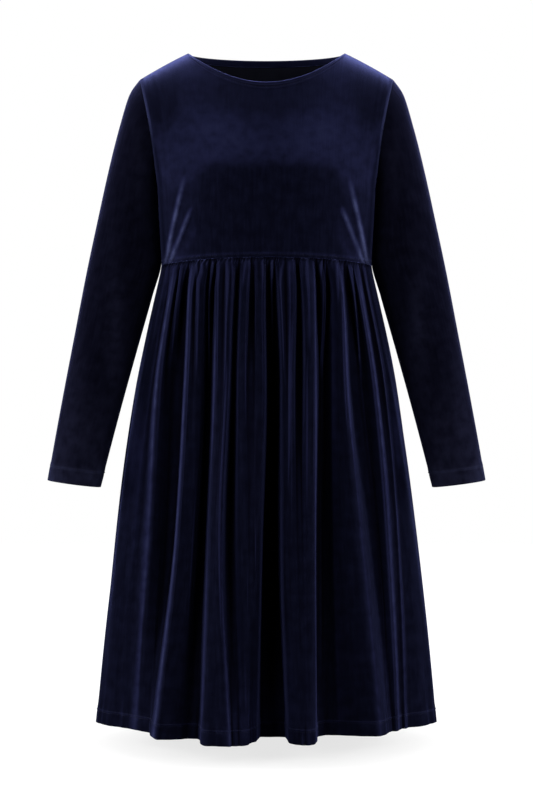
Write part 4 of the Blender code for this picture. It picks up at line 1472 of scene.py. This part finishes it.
BACK_FOLDS = (
    Fold(-169.5, -195.5, -226, -254.3, 0, 0, 0, 0),  # side seam
    Fold(-168, -193.5, -223.5, -252, 17, 16, 15, 14),
    Fold(-164, -189, -218, -244, 28, 27, 29, 29),
    Fold(-159, -182.5, -209, -231, 38, 37, 42, 44),
    Fold(-154, -176, -199, -217, 48, 46, 55, 60, 0.05, 0.05),
    Fold(-149, -169, -190, -204, 57, 57, 70, 78),
    Fold(-144.5, -163, -184.5, -197, 66, 67, 82, 92, 0.20, 0.16),
    Fold(-140.5, -158.5, -180, -192, 67, 67, 82, 93),  # side crease
    Fold(-136, -153.5, -174, -187, 58, 58, 68, 84),
    Fold(-131.5, -147.5, -167, -181, 62, 60, 68, 82),
    Fold(-126.5, -141, -158.5, -174.5, 66, 63, 74, 90),
    Fold(-122, -133, -149.5, -168, 70, 66, 80, 102),
    Fold(-119, -128.5, -145, -164, 78, 80, 99, 122, 0.34, 0.30),  # first flute
    Fold(-115, -124, -140, -159.5, 88, 94, 115, 138),
    Fold(-108.5, -116, -130, -147, 91, 97, 121, 145),
    Fold(-101, -106, -117, -130, 93, 98, 125, 149),
    Fold(-96, -99.5, -108.5, -119, 93, 98, 124, 149, 0.10, 0.06),
    Fold(-92.5, -95, -103, -113, 84, 88, 112, 140),
    Fold(-89, -91.5, -98, -108, 80, 78, 98, 126),
    Fold(-85.5, -88, -94, -103.5, 80, 77, 96, 124),
    Fold(-82, -84.5, -90.5, -100, 88, 78, 98, 128),
    Fold(-79, -81.5, -87.5, -97, 86, 88, 112, 146, 0.30, 0.18),  # second flute
    Fold(-75.5, -78.5, -84, -93, 100, 108, 140, 172),
    Fold(-69.5, -73, -77.5, -85, 106, 117, 152, 184),
    Fold(-61, -63, -64, -68, 108, 120, 158, 191),
    Fold(-53.5, -52, -52, -53.5, 109, 121, 160, 194),
    Fold(-49.5, -47.5, -46.5, -47.5, 106, 117, 154, 189, 0.16, 0.18),
    Fold(-46, -44, -42, -42, 97, 104, 134, 168),
    Fold(-42.5, -40.5, -37.5, -36.5, 93, 98, 118, 146),
    Fold(-38.5, -37, -33.5, -31, 94, 97, 116, 144),
    Fold(-35, -33.5, -30, -26.5, 103, 104, 128, 156, 0.22, 0.10),  # third flute
    Fold(-31, -30, -26.5, -22, 110, 118, 148, 176),
    Fold(-24, -23, -19, -13, 113, 123, 156, 183),
    Fold(-14.5, -12.5, -6, 2.5, 110, 124, 158, 185),
    Fold(-7, -5, 3, 13, 112, 124, 157, 184),
    Fold(-4, -1.5, 6.5, 17.5, 104, 116, 148, 177, 0.12, 0.14),
    Fold(-0.5, 1.5, 9.5, 21, 97, 104, 134, 167),  # centre valley
    Fold(3.5, 5, 13, 25, 96, 102, 130, 163),
    Fold(6.5, 8.5, 16, 28.5, 104, 108, 138, 168, 0.18, 0.08),  # fourth flute
    Fold(10.5, 13, 20.5, 33, 112, 121, 152, 180),
    Fold(18, 21, 29, 42, 114, 124, 157, 187),
    Fold(26, 30, 39, 52, 111, 124, 158, 189),
    Fold(33, 37, 46.5, 60.5, 111, 123, 156, 188),
    Fold(37.5, 42, 51.5, 65.5, 104, 115, 142, 171, 0.20, 0.24),
    Fold(42, 47, 56.5, 70.5, 94, 97, 114, 138),
    Fold(48, 53.5, 63.5, 77.5, 92, 93, 106, 124),
    Fold(53.5, 59.5, 70, 84.5, 93, 94, 106, 123),
    Fold(57.5, 63.5, 74.5, 89.5, 100, 102, 120, 140, 0.16, 0.06),  # fifth flute
    Fold(62.5, 68.5, 80, 96, 107, 115, 139, 162),
    Fold(70.5, 77.5, 89, 105.5, 108, 117, 143, 167),
    Fold(79.5, 87, 99, 116, 104, 114, 142, 166),
    Fold(86.5, 94.5, 107, 125, 100, 109, 137, 159),
    Fold(90.5, 99, 111.5, 130, 92, 99, 124, 148, 0.14, 0.20),
    Fold(95, 104.5, 117.5, 136, 85, 86, 102, 127),
    Fold(100, 110.5, 124.5, 143.5, 82, 82, 97, 121),
    Fold(105, 116.5, 132.5, 152, 86, 88, 104, 126, 0.10, 0.05),  # sixth flute
    Fold(110.5, 122.5, 141, 160.5, 88, 93, 114, 134),
    Fold(118, 131.5, 150.5, 169.5, 80, 86, 108, 128),
    Fold(123, 138, 157.5, 176, 72, 76, 94, 114, 0.26, 0.20),
    Fold(128, 144, 164, 182.5, 68, 67, 80, 96),
    Fold(134, 151.5, 172.5, 190, 66, 64, 74, 86),
    Fold(139, 158, 179.5, 197, 68, 68, 78, 84, 0.20, 0.16),  # side crease
    Fold(143.5, 164, 186.5, 204.5, 63, 63, 76, 80),
    Fold(149.5, 171.5, 195.5, 216, 52, 51, 60, 62),
    Fold(155, 179, 205.5, 229, 44, 42, 48, 49),
    Fold(161.5, 186.5, 215.5, 241, 35, 33, 34, 34),
    Fold(168, 193.5, 223.5, 252, 17, 16, 15, 14),
    Fold(169.5, 195.5, 226, 254.3, 0, 0, 0, 0),  # side seam
)
BACK_GATHERS = (
    Gather(-143, -152, 1.6, 2.4, 38),
    Gather(-134.5, -142, 2, 2.6, 30),
    Gather(-126, -131.5, 1.8, 2.2, 48),
    Gather(-117.5, -120, 1.4, 2, 12),
    Gather(-108, -113, 2.2, 2.4, 42),
    Gather(-99.5, -98, 2, 2.4, 26),
    Gather(-90, -93.5, 2.2, 2.2, 52),
    Gather(-82.5, -84, 1.4, 1.8, 10),
    Gather(-73, -75.5, 2.4, 2.6, 40),
    Gather(-62.5, -60, 1.8, 2.2, 34),
    Gather(-54, -55, 2, 2.2, 45),
    Gather(-45.5, -46.5, 1.4, 2, 12),
    Gather(-37, -34, 2.2, 2.4, 40),
    Gather(-26.5, -28.5, 1.8, 2.2, 28),
    Gather(-17, -17, 2.4, 2.8, 50),
    Gather(-8, -6, 1.6, 2, 36),
    Gather(2, 3.5, 1.4, 1.8, 10),
    Gather(9.5, 11, 2.2, 2.4, 46),
    Gather(19, 20.5, 1.8, 2.2, 22),
    Gather(28.5, 31, 2, 2.2, 44),
    Gather(37.5, 36, 1.6, 2, 30),
    Gather(47, 48.5, 1.2, 1.8, 8),
    Gather(56, 59.5, 2.4, 2.6, 42),
    Gather(66.5, 69, 1.8, 2.2, 25),
    Gather(75, 79.5, 2.2, 2.4, 48),
    Gather(85.5, 88, 1.6, 2, 34),
    Gather(94.5, 97.5, 1.4, 1.8, 10),
    Gather(103.5, 108.5, 2.2, 2.4, 44),
    Gather(113.5, 117.5, 1.6, 2.2, 20),
    Gather(122.5, 129, 2.2, 2.4, 46),
    Gather(132.5, 141.5, 1.8, 2.2, 34),
    Gather(142.5, 152.5, 1.6, 2.2, 40),
)


@dataclass
class Skirt:
    """One gathered panel of the skirt, from the waist seam to the hem."""

    bodice: Bodice
    folds: tuple[Fold, ...]
    gathers: tuple[Gather, ...]
    is_back: bool
    patches: tuple[Patch, ...]
    levels: tuple[SkirtLevel, ...] = (
        SkirtLevel(-0.3195, 0.157),
        SkirtLevel(-0.339, 0.1615),
        SkirtLevel(-0.370, 0.1688),
        SkirtLevel(-0.430, 0.1820),
        SkirtLevel(-0.500, 0.1955),
        SkirtLevel(-0.610, 0.2122),
        SkirtLevel(-0.720, 0.2260),
        SkirtLevel(-0.860, 0.2414),
        SkirtLevel(-1.000, 0.2543),
    )
    high_z: float = -0.370
    mid_z: float = -0.500
    low_z: float = -0.720
    hem_z: float = -1.000
    hem: float = 0.020
    # painted highlight on the hem
    hem_painted_light: float = 0.055
    front_depth: float = 0.115
    back_depth: float = 0.100
    squareness: float = 2.4
    gather_run: float = 0.050  # drop at which x_below holds
    onset: float = 0.78  # how early the folds stand out below the seam: 1 is evenly
    waist_share: float = 0.6  # how far the columns run by the waist's folds, not those below
    gather_start: float = 0.45  # share of its height that a gather has at the seam
    gather_growth: float = 0.012  # drop at which it has its whole height
    seam_radius: float = 0.0003  # the gathers are drawn tight into the waist seam
    seam_top_share: float = 0.05  # what is left of a side seam's turn at the waist
    seam_top_rows: int = 3  # rows over which it opens
    swells: tuple[float, float] = (0.0009, 0.0006)  # slow undulations, wide and narrow
    swell_drops: Span = (0.05, 0.20)
    hem_pull: float = 0.00045  # waves drawn up by the hem's stitches
    hem_pull_reach: float = 2.2  # how far up they start, in hem widths
    pucker: float = 0.0007  # crumpling beside the waist seam
    pucker_reach: float = 0.006
    painted_light_drops: Span = (0.004, 0.060)  # where the fold lines' painted highlight begins
    painted_light_low_drops: Span = (0.130, 0.380)  # where the lower half's painted highlight takes its place
    # painted highlight on the gathers' tops, and the drop over which it comes in
    gather_painted_light: float = 0.10
    gather_painted_light_drop: float = 0.008
    seam_shade: float = 0.40  # painted shade along the waist seam
    seam_shade_reach: float = 0.0025
    columns: int = 404
    fold_crowding: float = 0.45  # draws the columns together where the fold lines are close
    samples: int = 4001  # places at which that crowding is worked out
    side_columns: int = 9  # columns over which the hem's relief rises beside a side seam
    side_share: float = 0.15  # what it has at the seam
    rows: int = 84
    row_evenness: float = 0.10  # the rest draws the rows together at the waist
    hem_rows: tuple[float, ...] = (12, 8, 5.5, 4, 3, 2, 1, 0, -1, -2, -3, -4.5, -7)  # mm above the raw edge
    hem_rows_from: float = 0.015  # how far above the raw edge they take over from the rows
    last_row: float = 0.005  # height of the last row above the fold

    @property
    def length(self) -> float:
        """Length from the waist's side point down to the hem."""
        return self.bodice.waist_side_z - self.hem_z

    @cached_property
    def heights(self) -> np.ndarray:
        """Heights of the fold lines' places, the waist's first."""
        return np.array([self.bodice.waist_side_z, self.high_z, self.mid_z, self.low_z, self.hem_z])

    @cached_property
    def line_x(self) -> np.ndarray:
        """Each fold line's place across the skirt, in a row for each height."""
        below = np.array([column(self.folds, name) for name in ("x_high", "x_mid", "x_low", "x_hem")]) / 1000
        return np.vstack([below[0] * (self.bodice.waist_half_width / abs(below[0, 0])), below])

    @cached_property
    def line_depth(self) -> np.ndarray:
        """Each fold line's depth from the side seams' plane, in a row for each height."""
        names = ("depth_high", "depth_mid", "depth_low", "depth_hem")
        below = np.array([column(self.folds, name) for name in names]) / 1000
        return np.vstack([self.plan(self.line_x[0], self.bodice.waist_half_width), below])

    @cached_property
    def line_share(self) -> np.ndarray:
        """Each fold line's share of the cloth's width, the mean of waist, middle and hem."""
        waist, middle, hem = (self.width_shares(row) for row in (0, 2, -1))
        return self.waist_share * waist + (1 - self.waist_share) / 2 * (middle + hem)

    def width_shares(self, row: int) -> np.ndarray:
        """Return each fold line's share of the way along the folded cloth at one height."""
        run = np.hypot(np.diff(self.line_x[row]), np.diff(self.line_depth[row]))
        return np.concatenate([[0], np.cumsum(run)]) / run.sum()

    def plan(self, x: np.ndarray, half_width: float) -> np.ndarray:
        """Return the depth of the unfolded skirt at the waist seam, at an offset x."""
        depth = self.back_depth if self.is_back else self.front_depth
        return depth * superellipse(np.clip(x / half_width, -1, 1), self.squareness)

    def level(self, table: np.ndarray, z: float, share: np.ndarray) -> np.ndarray:
        """Return a fold line table's value at height z and at shares of the cloth's width."""
        lines = np.array([smooth(-self.heights, values, -z) for values in table.T])
        return smooth(self.line_share, lines, share)

    def gather(self, x: np.ndarray, drop: float) -> np.ndarray:
        """Return the height of the small gathers at an offset x and a drop below the seam."""
        start = self.gather_start + (1 - self.gather_start) * min(1.0, drop / self.gather_growth)
        ridges = sum(ridge.height * ridge.over(x, drop, self.gather_run) for ridge in self.gathers)
        return start * ridges / 1000

    def ripple(self, share: np.ndarray, drop: float) -> np.ndarray:
        """Return slow soft swells, the pull of the hem's stitching and the waist's crumpling.

        The phases are in radians across the whole panel, and wander so that nothing repeats.
        """
        sway = 3.0 * share + 1.6 * drop
        wide, narrow = self.swells
        slow = wide * np.sin(70 * share + 5 * np.sin(sway))
        slow = slow + narrow * np.sin(131 * share + 4 * np.cos(2.3 * sway))
        near_hem = ramp(drop, self.length - self.hem * self.hem_pull_reach, self.length - self.hem)
        pull = self.hem_pull * np.sin(330 * share + 3 * np.sin(17 * share)) * near_hem
        pucker = self.pucker * np.sin(560 * share + 4 * np.sin(29 * share) + 500 * drop)
        return slow * ramp(drop, *self.swell_drops) + pull + pucker * bump_at(drop, self.pucker_reach)

    def painted_light(self, share: np.ndarray, points: np.ndarray, drops: np.ndarray) -> np.ndarray:
        """Return the painted highlights along the fold lines and on the gathers' tops, the painted shade
        along the waist seam, and the patches of painted light and shade.
        """
        painted_highlight = (column(self.folds, "painted_light") > 0).astype(float)
        on_line = np.interp(share, self.line_share, painted_highlight) ** 2
        high, low = (
            np.interp(share, self.line_share, column(self.folds, name)) * on_line
            for name in ("painted_light", "painted_light_low")
        )
        below = drops[:, None]
        total = (high + (low - high) * ramp(below, *self.painted_light_low_drops)) * ramp(below, *self.painted_light_drops)
        rise = self.gather_painted_light * ramp(below, 0.0, self.gather_painted_light_drop)
        for ridge in self.gathers:
            total = total + rise * ridge.over(points[..., 0], below, self.gather_run)
        return total - self.seam_shade * bump_at(below, self.seam_shade_reach) + patched(self.patches, points)

    def row(self, share: np.ndarray, drop: float) -> np.ndarray:
        """Return the points of one row, a drop below the waist's side point."""
        bodice = self.bodice
        seam = self.level(self.line_x, bodice.waist_side_z, share)
        top = bodice.waist_z(seam / bodice.waist_half_width) - SEAM_GAP / 2
        z = top + (self.hem_z - top) * (drop / self.length)
        level_z = bodice.waist_side_z - drop
        x = self.level(self.line_x, level_z, share)
        early = self.gather_run * (drop / self.gather_run) ** self.onset if drop < self.gather_run else drop
        depth = self.level(self.line_depth, bodice.waist_side_z - early, share)
        half_width = smooth(-column(self.levels, "z"), column(self.levels, "half_width"), -level_z)
        x = x * half_width / np.abs(x[0])
        across, out = np.gradient(x), np.gradient(depth)
        scale = (self.gather(x, drop) + self.ripple(share, drop)) / np.hypot(across, out)
        y = (depth + across * scale + SEAM_GAP / 2) * (1 if self.is_back else -1)
        return np.stack([x - out * scale, y, z], axis=-1)

    def sewn(self) -> Cloth:
        """Return the panel with its gathers, the relief of its stitched hem and its painted light and shade.
        """
        even = np.linspace(0, 1, self.samples)
        on_lines = np.interp(even, self.line_share, np.linspace(0, 1, len(self.folds)))
        crowd = (1 - self.fold_crowding) * even + self.fold_crowding * on_lines
        share = np.interp(np.linspace(0, 1, self.columns), crowd, even)
        even = np.linspace(0, 1, self.rows)
        drops = self.length * (self.row_evenness * even + (1 - self.row_evenness) * even**2)
        drops = drops[drops < self.length - self.hem - self.hem_rows_from]
        near_hem = self.length - (self.hem + 0.001 * np.array(self.hem_rows))
        drops = np.concatenate([drops, near_hem, [self.length - self.last_row, self.length]])
        points = np.array([self.row(share, drop) for drop in drops])
        painted_light = self.painted_light(share, points, drops)
        if self.is_back:
            points, painted_light = points[:, ::-1], painted_light[:, ::-1]
        row = self.hem - STITCH_INSET
        from_foot = (self.length - drops)[:, None]
        panel = Cloth(points, painted_light=painted_light + self.hem_painted_light * HEM_PAINTED_LIGHT.over(from_foot - row))
        index = np.arange(self.columns)
        at_side = ramp(np.minimum(index, index[::-1]), 0, self.side_columns)
        return panel.raised(hem_relief(from_foot, row) * at_least(self.side_share, at_side))

    def dressed(self, panel: Cloth) -> Cloth:
        """Return the sewn panel with its seams turned in and its hem folded up inside."""
        panel = panel.turned(Edge.TOP, np.pi / 2, self.seam_radius, SEAM_ALLOWANCE)
        below = ramp(np.arange(len(panel.points)), TURNED_ROWS, TURNED_ROWS + self.seam_top_rows)
        clear = at_least(self.seam_top_share, below)
        for edge in (Edge.LEFT, Edge.RIGHT):
            panel = panel.turned(edge, np.pi / 2, SEAM_RADIUS * clear, SEAM_ALLOWANCE * clear)
        return panel.turned(Edge.FOOT, np.pi, HEM_RADIUS, self.hem)


# ---------------------------------------------------------------- studio
@dataclass(frozen=True)
class Softbox:
    """A rectangular studio light, aimed at a point, with a twin across the room's middle if paired."""

    name: str
    place: tuple[float, float, float]
    aim: tuple[float, float, float]
    size: tuple[float, float]
    power: float
    paired: bool = True

    def hang(self) -> None:
        """Add the light, and its twin if it has one."""
        for side, label in ((1, "left"), (-1, "right")) if self.paired else ((1, "middle"),):
            lamp = bpy.data.lights.new(f"{self.name}_{label}", "AREA")
            lamp.shape = "RECTANGLE"
            lamp.size, lamp.size_y = self.size
            lamp.energy = self.power
            light = add_object(lamp.name, lamp)
            place, aim = (Vector((side * point[0], point[1], point[2])) for point in (self.place, self.aim))
            light.location = place
            light.rotation_euler = (aim - place).to_track_quat("-Z", "Y").to_euler()
            light.visible_camera = False


@dataclass(frozen=True)
class Studio:
    """White room, pale floor, soft lights and the camera."""

    floor_z: float = -1.030
    floor_size: float = 8.0
    floor_glow: float = 0.76  # glow of the shade below the dress
    floor_white: float = 1.05  # and of the floor past it
    floor_shade_radius: float = 0.12
    floor_white_radius: float = 0.42
    floor_tone: Span = (0.11, 0.13)  # how light its paint looks, with faint specks
    floor_dim: float = 0.02  # how light it is as it lights the dress
    floor_roughness: float = 0.9
    speck_scale: float = 3.0
    speck_detail: float = 2.0
    ambient: float = 0.02
    camera_place: tuple[float, float, float] = (0.0, -2.95, -0.519)
    lens: float = 88.5
    lights: tuple[Softbox, ...] = (
        Softbox("strip", (0.80, -1.00, -0.20), (0.10, 0.0, -0.45), (0.30, 1.20), 5.5),
        Softbox("outer_strip", (1.30, -1.00, -0.20), (0.10, 0.0, -0.45), (0.30, 1.20), 3.0),
        Softbox("side", (3.45, 0.0, 0.16), (0.0, 0.0, -0.45), (1.05, 1.05), 135.0),
        Softbox("quarter", (1.72, -2.99, 0.16), (0.0, 0.0, -0.45), (1.05, 1.05), 18.0),
        Softbox("high_quarter", (1.43, -2.48, 1.56), (0.0, 0.0, -0.45), (1.05, 1.05), 4.0),
        Softbox("back_strip", (0.90, 1.10, -0.20), (0.10, 0.0, -0.45), (0.30, 1.20), 5.0),
        Softbox("back_quarter", (1.72, 2.99, 0.16), (0.0, 0.0, -0.45), (1.05, 1.05), 22.0),
        Softbox("overhead", (0.0, 0.0, 0.90), (0.0, 0.0, -0.25), (1.20, 0.35), 4.2, paired=False),
    )

    def paint(self) -> bpy.types.Material:
        """Make the floor's paint: overexposed white to the eye but for the shade close by, dim as a light."""
        held = {"Emission Color": WHITE, "Roughness": self.floor_roughness, "Specular IOR Level": 0.0}
        paint, shader = principled("white_paint", held)
        tree = paint.node_tree
        place = node(tree, "TexCoord").outputs["Object"]
        seen = node(tree, "LightPath").outputs["Is Camera Ray"]
        specks = noise(tree, place, self.speck_detail, scale=self.speck_scale)
        tone = remap(tree, specks, (0.0, 1.0), self.floor_tone)
        flat = maths(tree, "MULTIPLY", place, (1.0, 1.0, 0.0), kind="VectorMath")
        radius = node(tree, "VectorMath", {0: flat}, operation="LENGTH").outputs["Value"]
        reach = (self.floor_shade_radius, self.floor_white_radius)
        glow = remap(
            tree, radius, reach, (self.floor_glow, self.floor_white), interpolation_type="SMOOTHSTEP"
        )
        colour = maths(tree, "MULTIPLY_ADD", seen, tone, self.floor_dim)
        fill(tree, shader, {"Base Color": colour, "Emission Strength": maths(tree, "MULTIPLY", seen, glow)})
        return paint

    def floor(self) -> None:
        """Build the pale floor."""
        shape = bmesh.new()
        bmesh.ops.create_grid(shape, x_segments=1, y_segments=1, size=self.floor_size / 2)
        bmesh.ops.translate(shape, verts=shape.verts, vec=(0.0, 0.0, self.floor_z))
        mesh = bpy.data.meshes.new("studio_floor")
        shape.to_mesh(mesh)
        shape.free()
        mesh.materials.append(self.paint())
        floor = add_object("studio_floor", mesh)

    def world(self) -> None:
        """Make the room white to the eye and dim as a source of light."""
        world = bpy.data.worlds.new("white_room")
        bpy.context.scene.world = world
        world.use_nodes = True
        tree = world.node_tree
        tree.nodes.clear()
        seen = node(tree, "Background", {"Color": WHITE, "Strength": 1.0})
        lit = node(tree, "Background", {"Color": WHITE, "Strength": self.ambient})
        ray = node(tree, "LightPath").outputs["Is Camera Ray"]
        mix = node(tree, "MixShader", {0: ray, 1: lit.outputs[0], 2: seen.outputs[0]})
        node(tree, "OutputWorld", {"Surface": mix.outputs[0]})

    def build(self) -> None:
        """Set up floor, room, lights and camera."""
        scene = bpy.context.scene
        scene.view_settings.view_transform = "Standard"
        scene.view_settings.look = "None"
        self.floor()
        self.world()
        for box in self.lights:
            box.hang()
        camera_data = bpy.data.cameras.new("camera")
        camera_data.lens = self.lens
        camera_data.sensor_width = 36.0
        camera_data.sensor_fit = "AUTO"
        camera = add_object("camera", camera_data)
        camera.location = self.camera_place
        camera.rotation_euler = (np.pi / 2, 0.0, 0.0)
        scene.camera = camera


# ---------------------------------------------------------------- turned neck edge
@dataclass(frozen=True)
class NeckEdge:
    """The turned neck edge, a ring that carries on from the two panels' folds."""

    bodice: Bodice
    clearance: float = 0.00006  # how much tighter it turns than the panels' folds
    start: float = 0.55  # where it starts round the fold, in half circles
    steps: int = 6
    shares: tuple[float, ...] = (1.0, 0.85, 0.5, 0.15)  # rows down the hem, as shares of its width
    passes: int = 6  # how often the normals are evened out round the neck
    # painted highlight on the turned edge
    painted_light: float = 0.14

    def cloth(self) -> Cloth:
        """Return the ring, its wrong side to the panels."""
        inside = np.abs(self.bodice.columns()) <= self.bodice.neck_u + 1e-9
        panels = [self.bodice.panel(is_back) for is_back in (False, True)]
        line = np.concatenate([panel.points[0, inside][:-1] for panel in panels])
        normal = np.concatenate([panel.outward()[0, inside][:-1] for panel in panels])
        for _ in range(self.passes):
            normal = unit(np.roll(normal, 1, axis=0) + 2 * normal + np.roll(normal, -1, axis=0))
        along = unit(np.roll(line, -1, axis=0) - np.roll(line, 1, axis=0))
        out = unit(np.cross(normal, along))
        radius = HEM_RADIUS - self.clearance
        start = line - out * HEM_RADIUS - normal * HEM_RADIUS
        turns = np.linspace(self.start, 1, self.steps) * np.pi
        rows = [start + radius * (out * np.sin(turn) + normal * np.cos(turn)) for turn in turns]
        rows = [rows[-1] - out * self.bodice.neck_hem * share for share in self.shares] + rows[::-1]
        return Cloth(np.array(rows), closed=True, painted_light=self.painted_light)


# ---------------------------------------------------------------- the dress
@dataclass
class Dress:
    """The whole dress: builds each piece on the frame."""

    bodice: Bodice = field(default_factory=Bodice)
    sleeve: Sleeve = field(default_factory=Sleeve)

    def add(
        self, node_name: str, piece: bpy.types.Object, flat: tuple[float, float], held: str, area: float
    ) -> None:
        """Put a cloth piece in place of its plain solid."""
        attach(piece, BODY)
        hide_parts(node_name)
        LOG.info("%s: %d faces", piece.name, len(piece.data.polygons))

    def build(self) -> None:
        """Build every panel and its stitching."""
        pile = Pile().group()
        lean = lean_group()
        velvet = VELVET.material(pile, lean)
        shaded_sleeve_velvet = SHADED_SLEEVE_VELVET.material(pile, lean)
        back_side = JERSEY_BACK.material(pile, lean)
        thread = ThreadFinish().material()
        for name, is_back, flat, area in (
            ("bodice_front", False, (0.50, 0.37), 0.135),
            ("bodice_back", True, (0.47, 0.37), 0.140),
        ):
            cloth = self.bodice.dressed(is_back)
            self.add(name, cloth.make(name + "_cloth", velvet, back_side), flat, "hung", area)
        self.sew("neck_stitches", self.bodice.stitch_lines(Edge.TOP), thread)
        self.sew("waist_stitches", self.bodice.stitch_lines(Edge.FOOT), thread)
        for name, side in (("sleeve_left", 1), ("sleeve_right", -1)):
            cloth = self.sleeve.tube(side)
            self.add(name, cloth.make(name + "_cloth", shaded_sleeve_velvet, back_side), (0.44, 0.65), "hung", 0.169)
            self.sew(name + "_stitches", twin_rows(self.sleeve.sewn(side), self.sleeve.cuff_hem), thread)
        for name, is_back, folds, gathers, patches, area in (
            ("skirt_front", False, FRONT_FOLDS, FRONT_GATHERS, FRONT_PATCHES, 0.648),
            ("skirt_back", True, BACK_FOLDS, BACK_GATHERS, BACK_PATCHES, 0.577),
        ):
            skirt = Skirt(self.bodice, folds, gathers, is_back, patches)
            sewn = skirt.sewn()
            cloth = skirt.dressed(sewn)
            self.add(name, cloth.make(name + "_cloth", velvet, back_side), (0.96, 0.72), "gathered", area)
            self.sew(name + "_stitches", twin_rows(sewn, skirt.hem), thread)
        ring = NeckEdge(self.bodice).cloth()
        self.add("neck_hem", ring.make("neck_edge_cloth", velvet, back_side), (0.70, 0.012), "folded", 0.0072)

    def sew(self, name: str, lines: list[Line], thread: bpy.types.Material) -> None:
        """Sew rows of stitches that ride on the dress."""
        piece = Stitching().make(name, lines, thread)
        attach(piece, BODY)
        LOG.info("%s: %d faces", piece.name, len(piece.data.polygons))


def main() -> None:
    """Load the frame, and build the dress and the studio."""
    logging.basicConfig(level=logging.INFO, format="%(name)s: %(message)s")
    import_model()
    Dress().build()
    Studio().build()


if __name__ == "__main__":
    main()
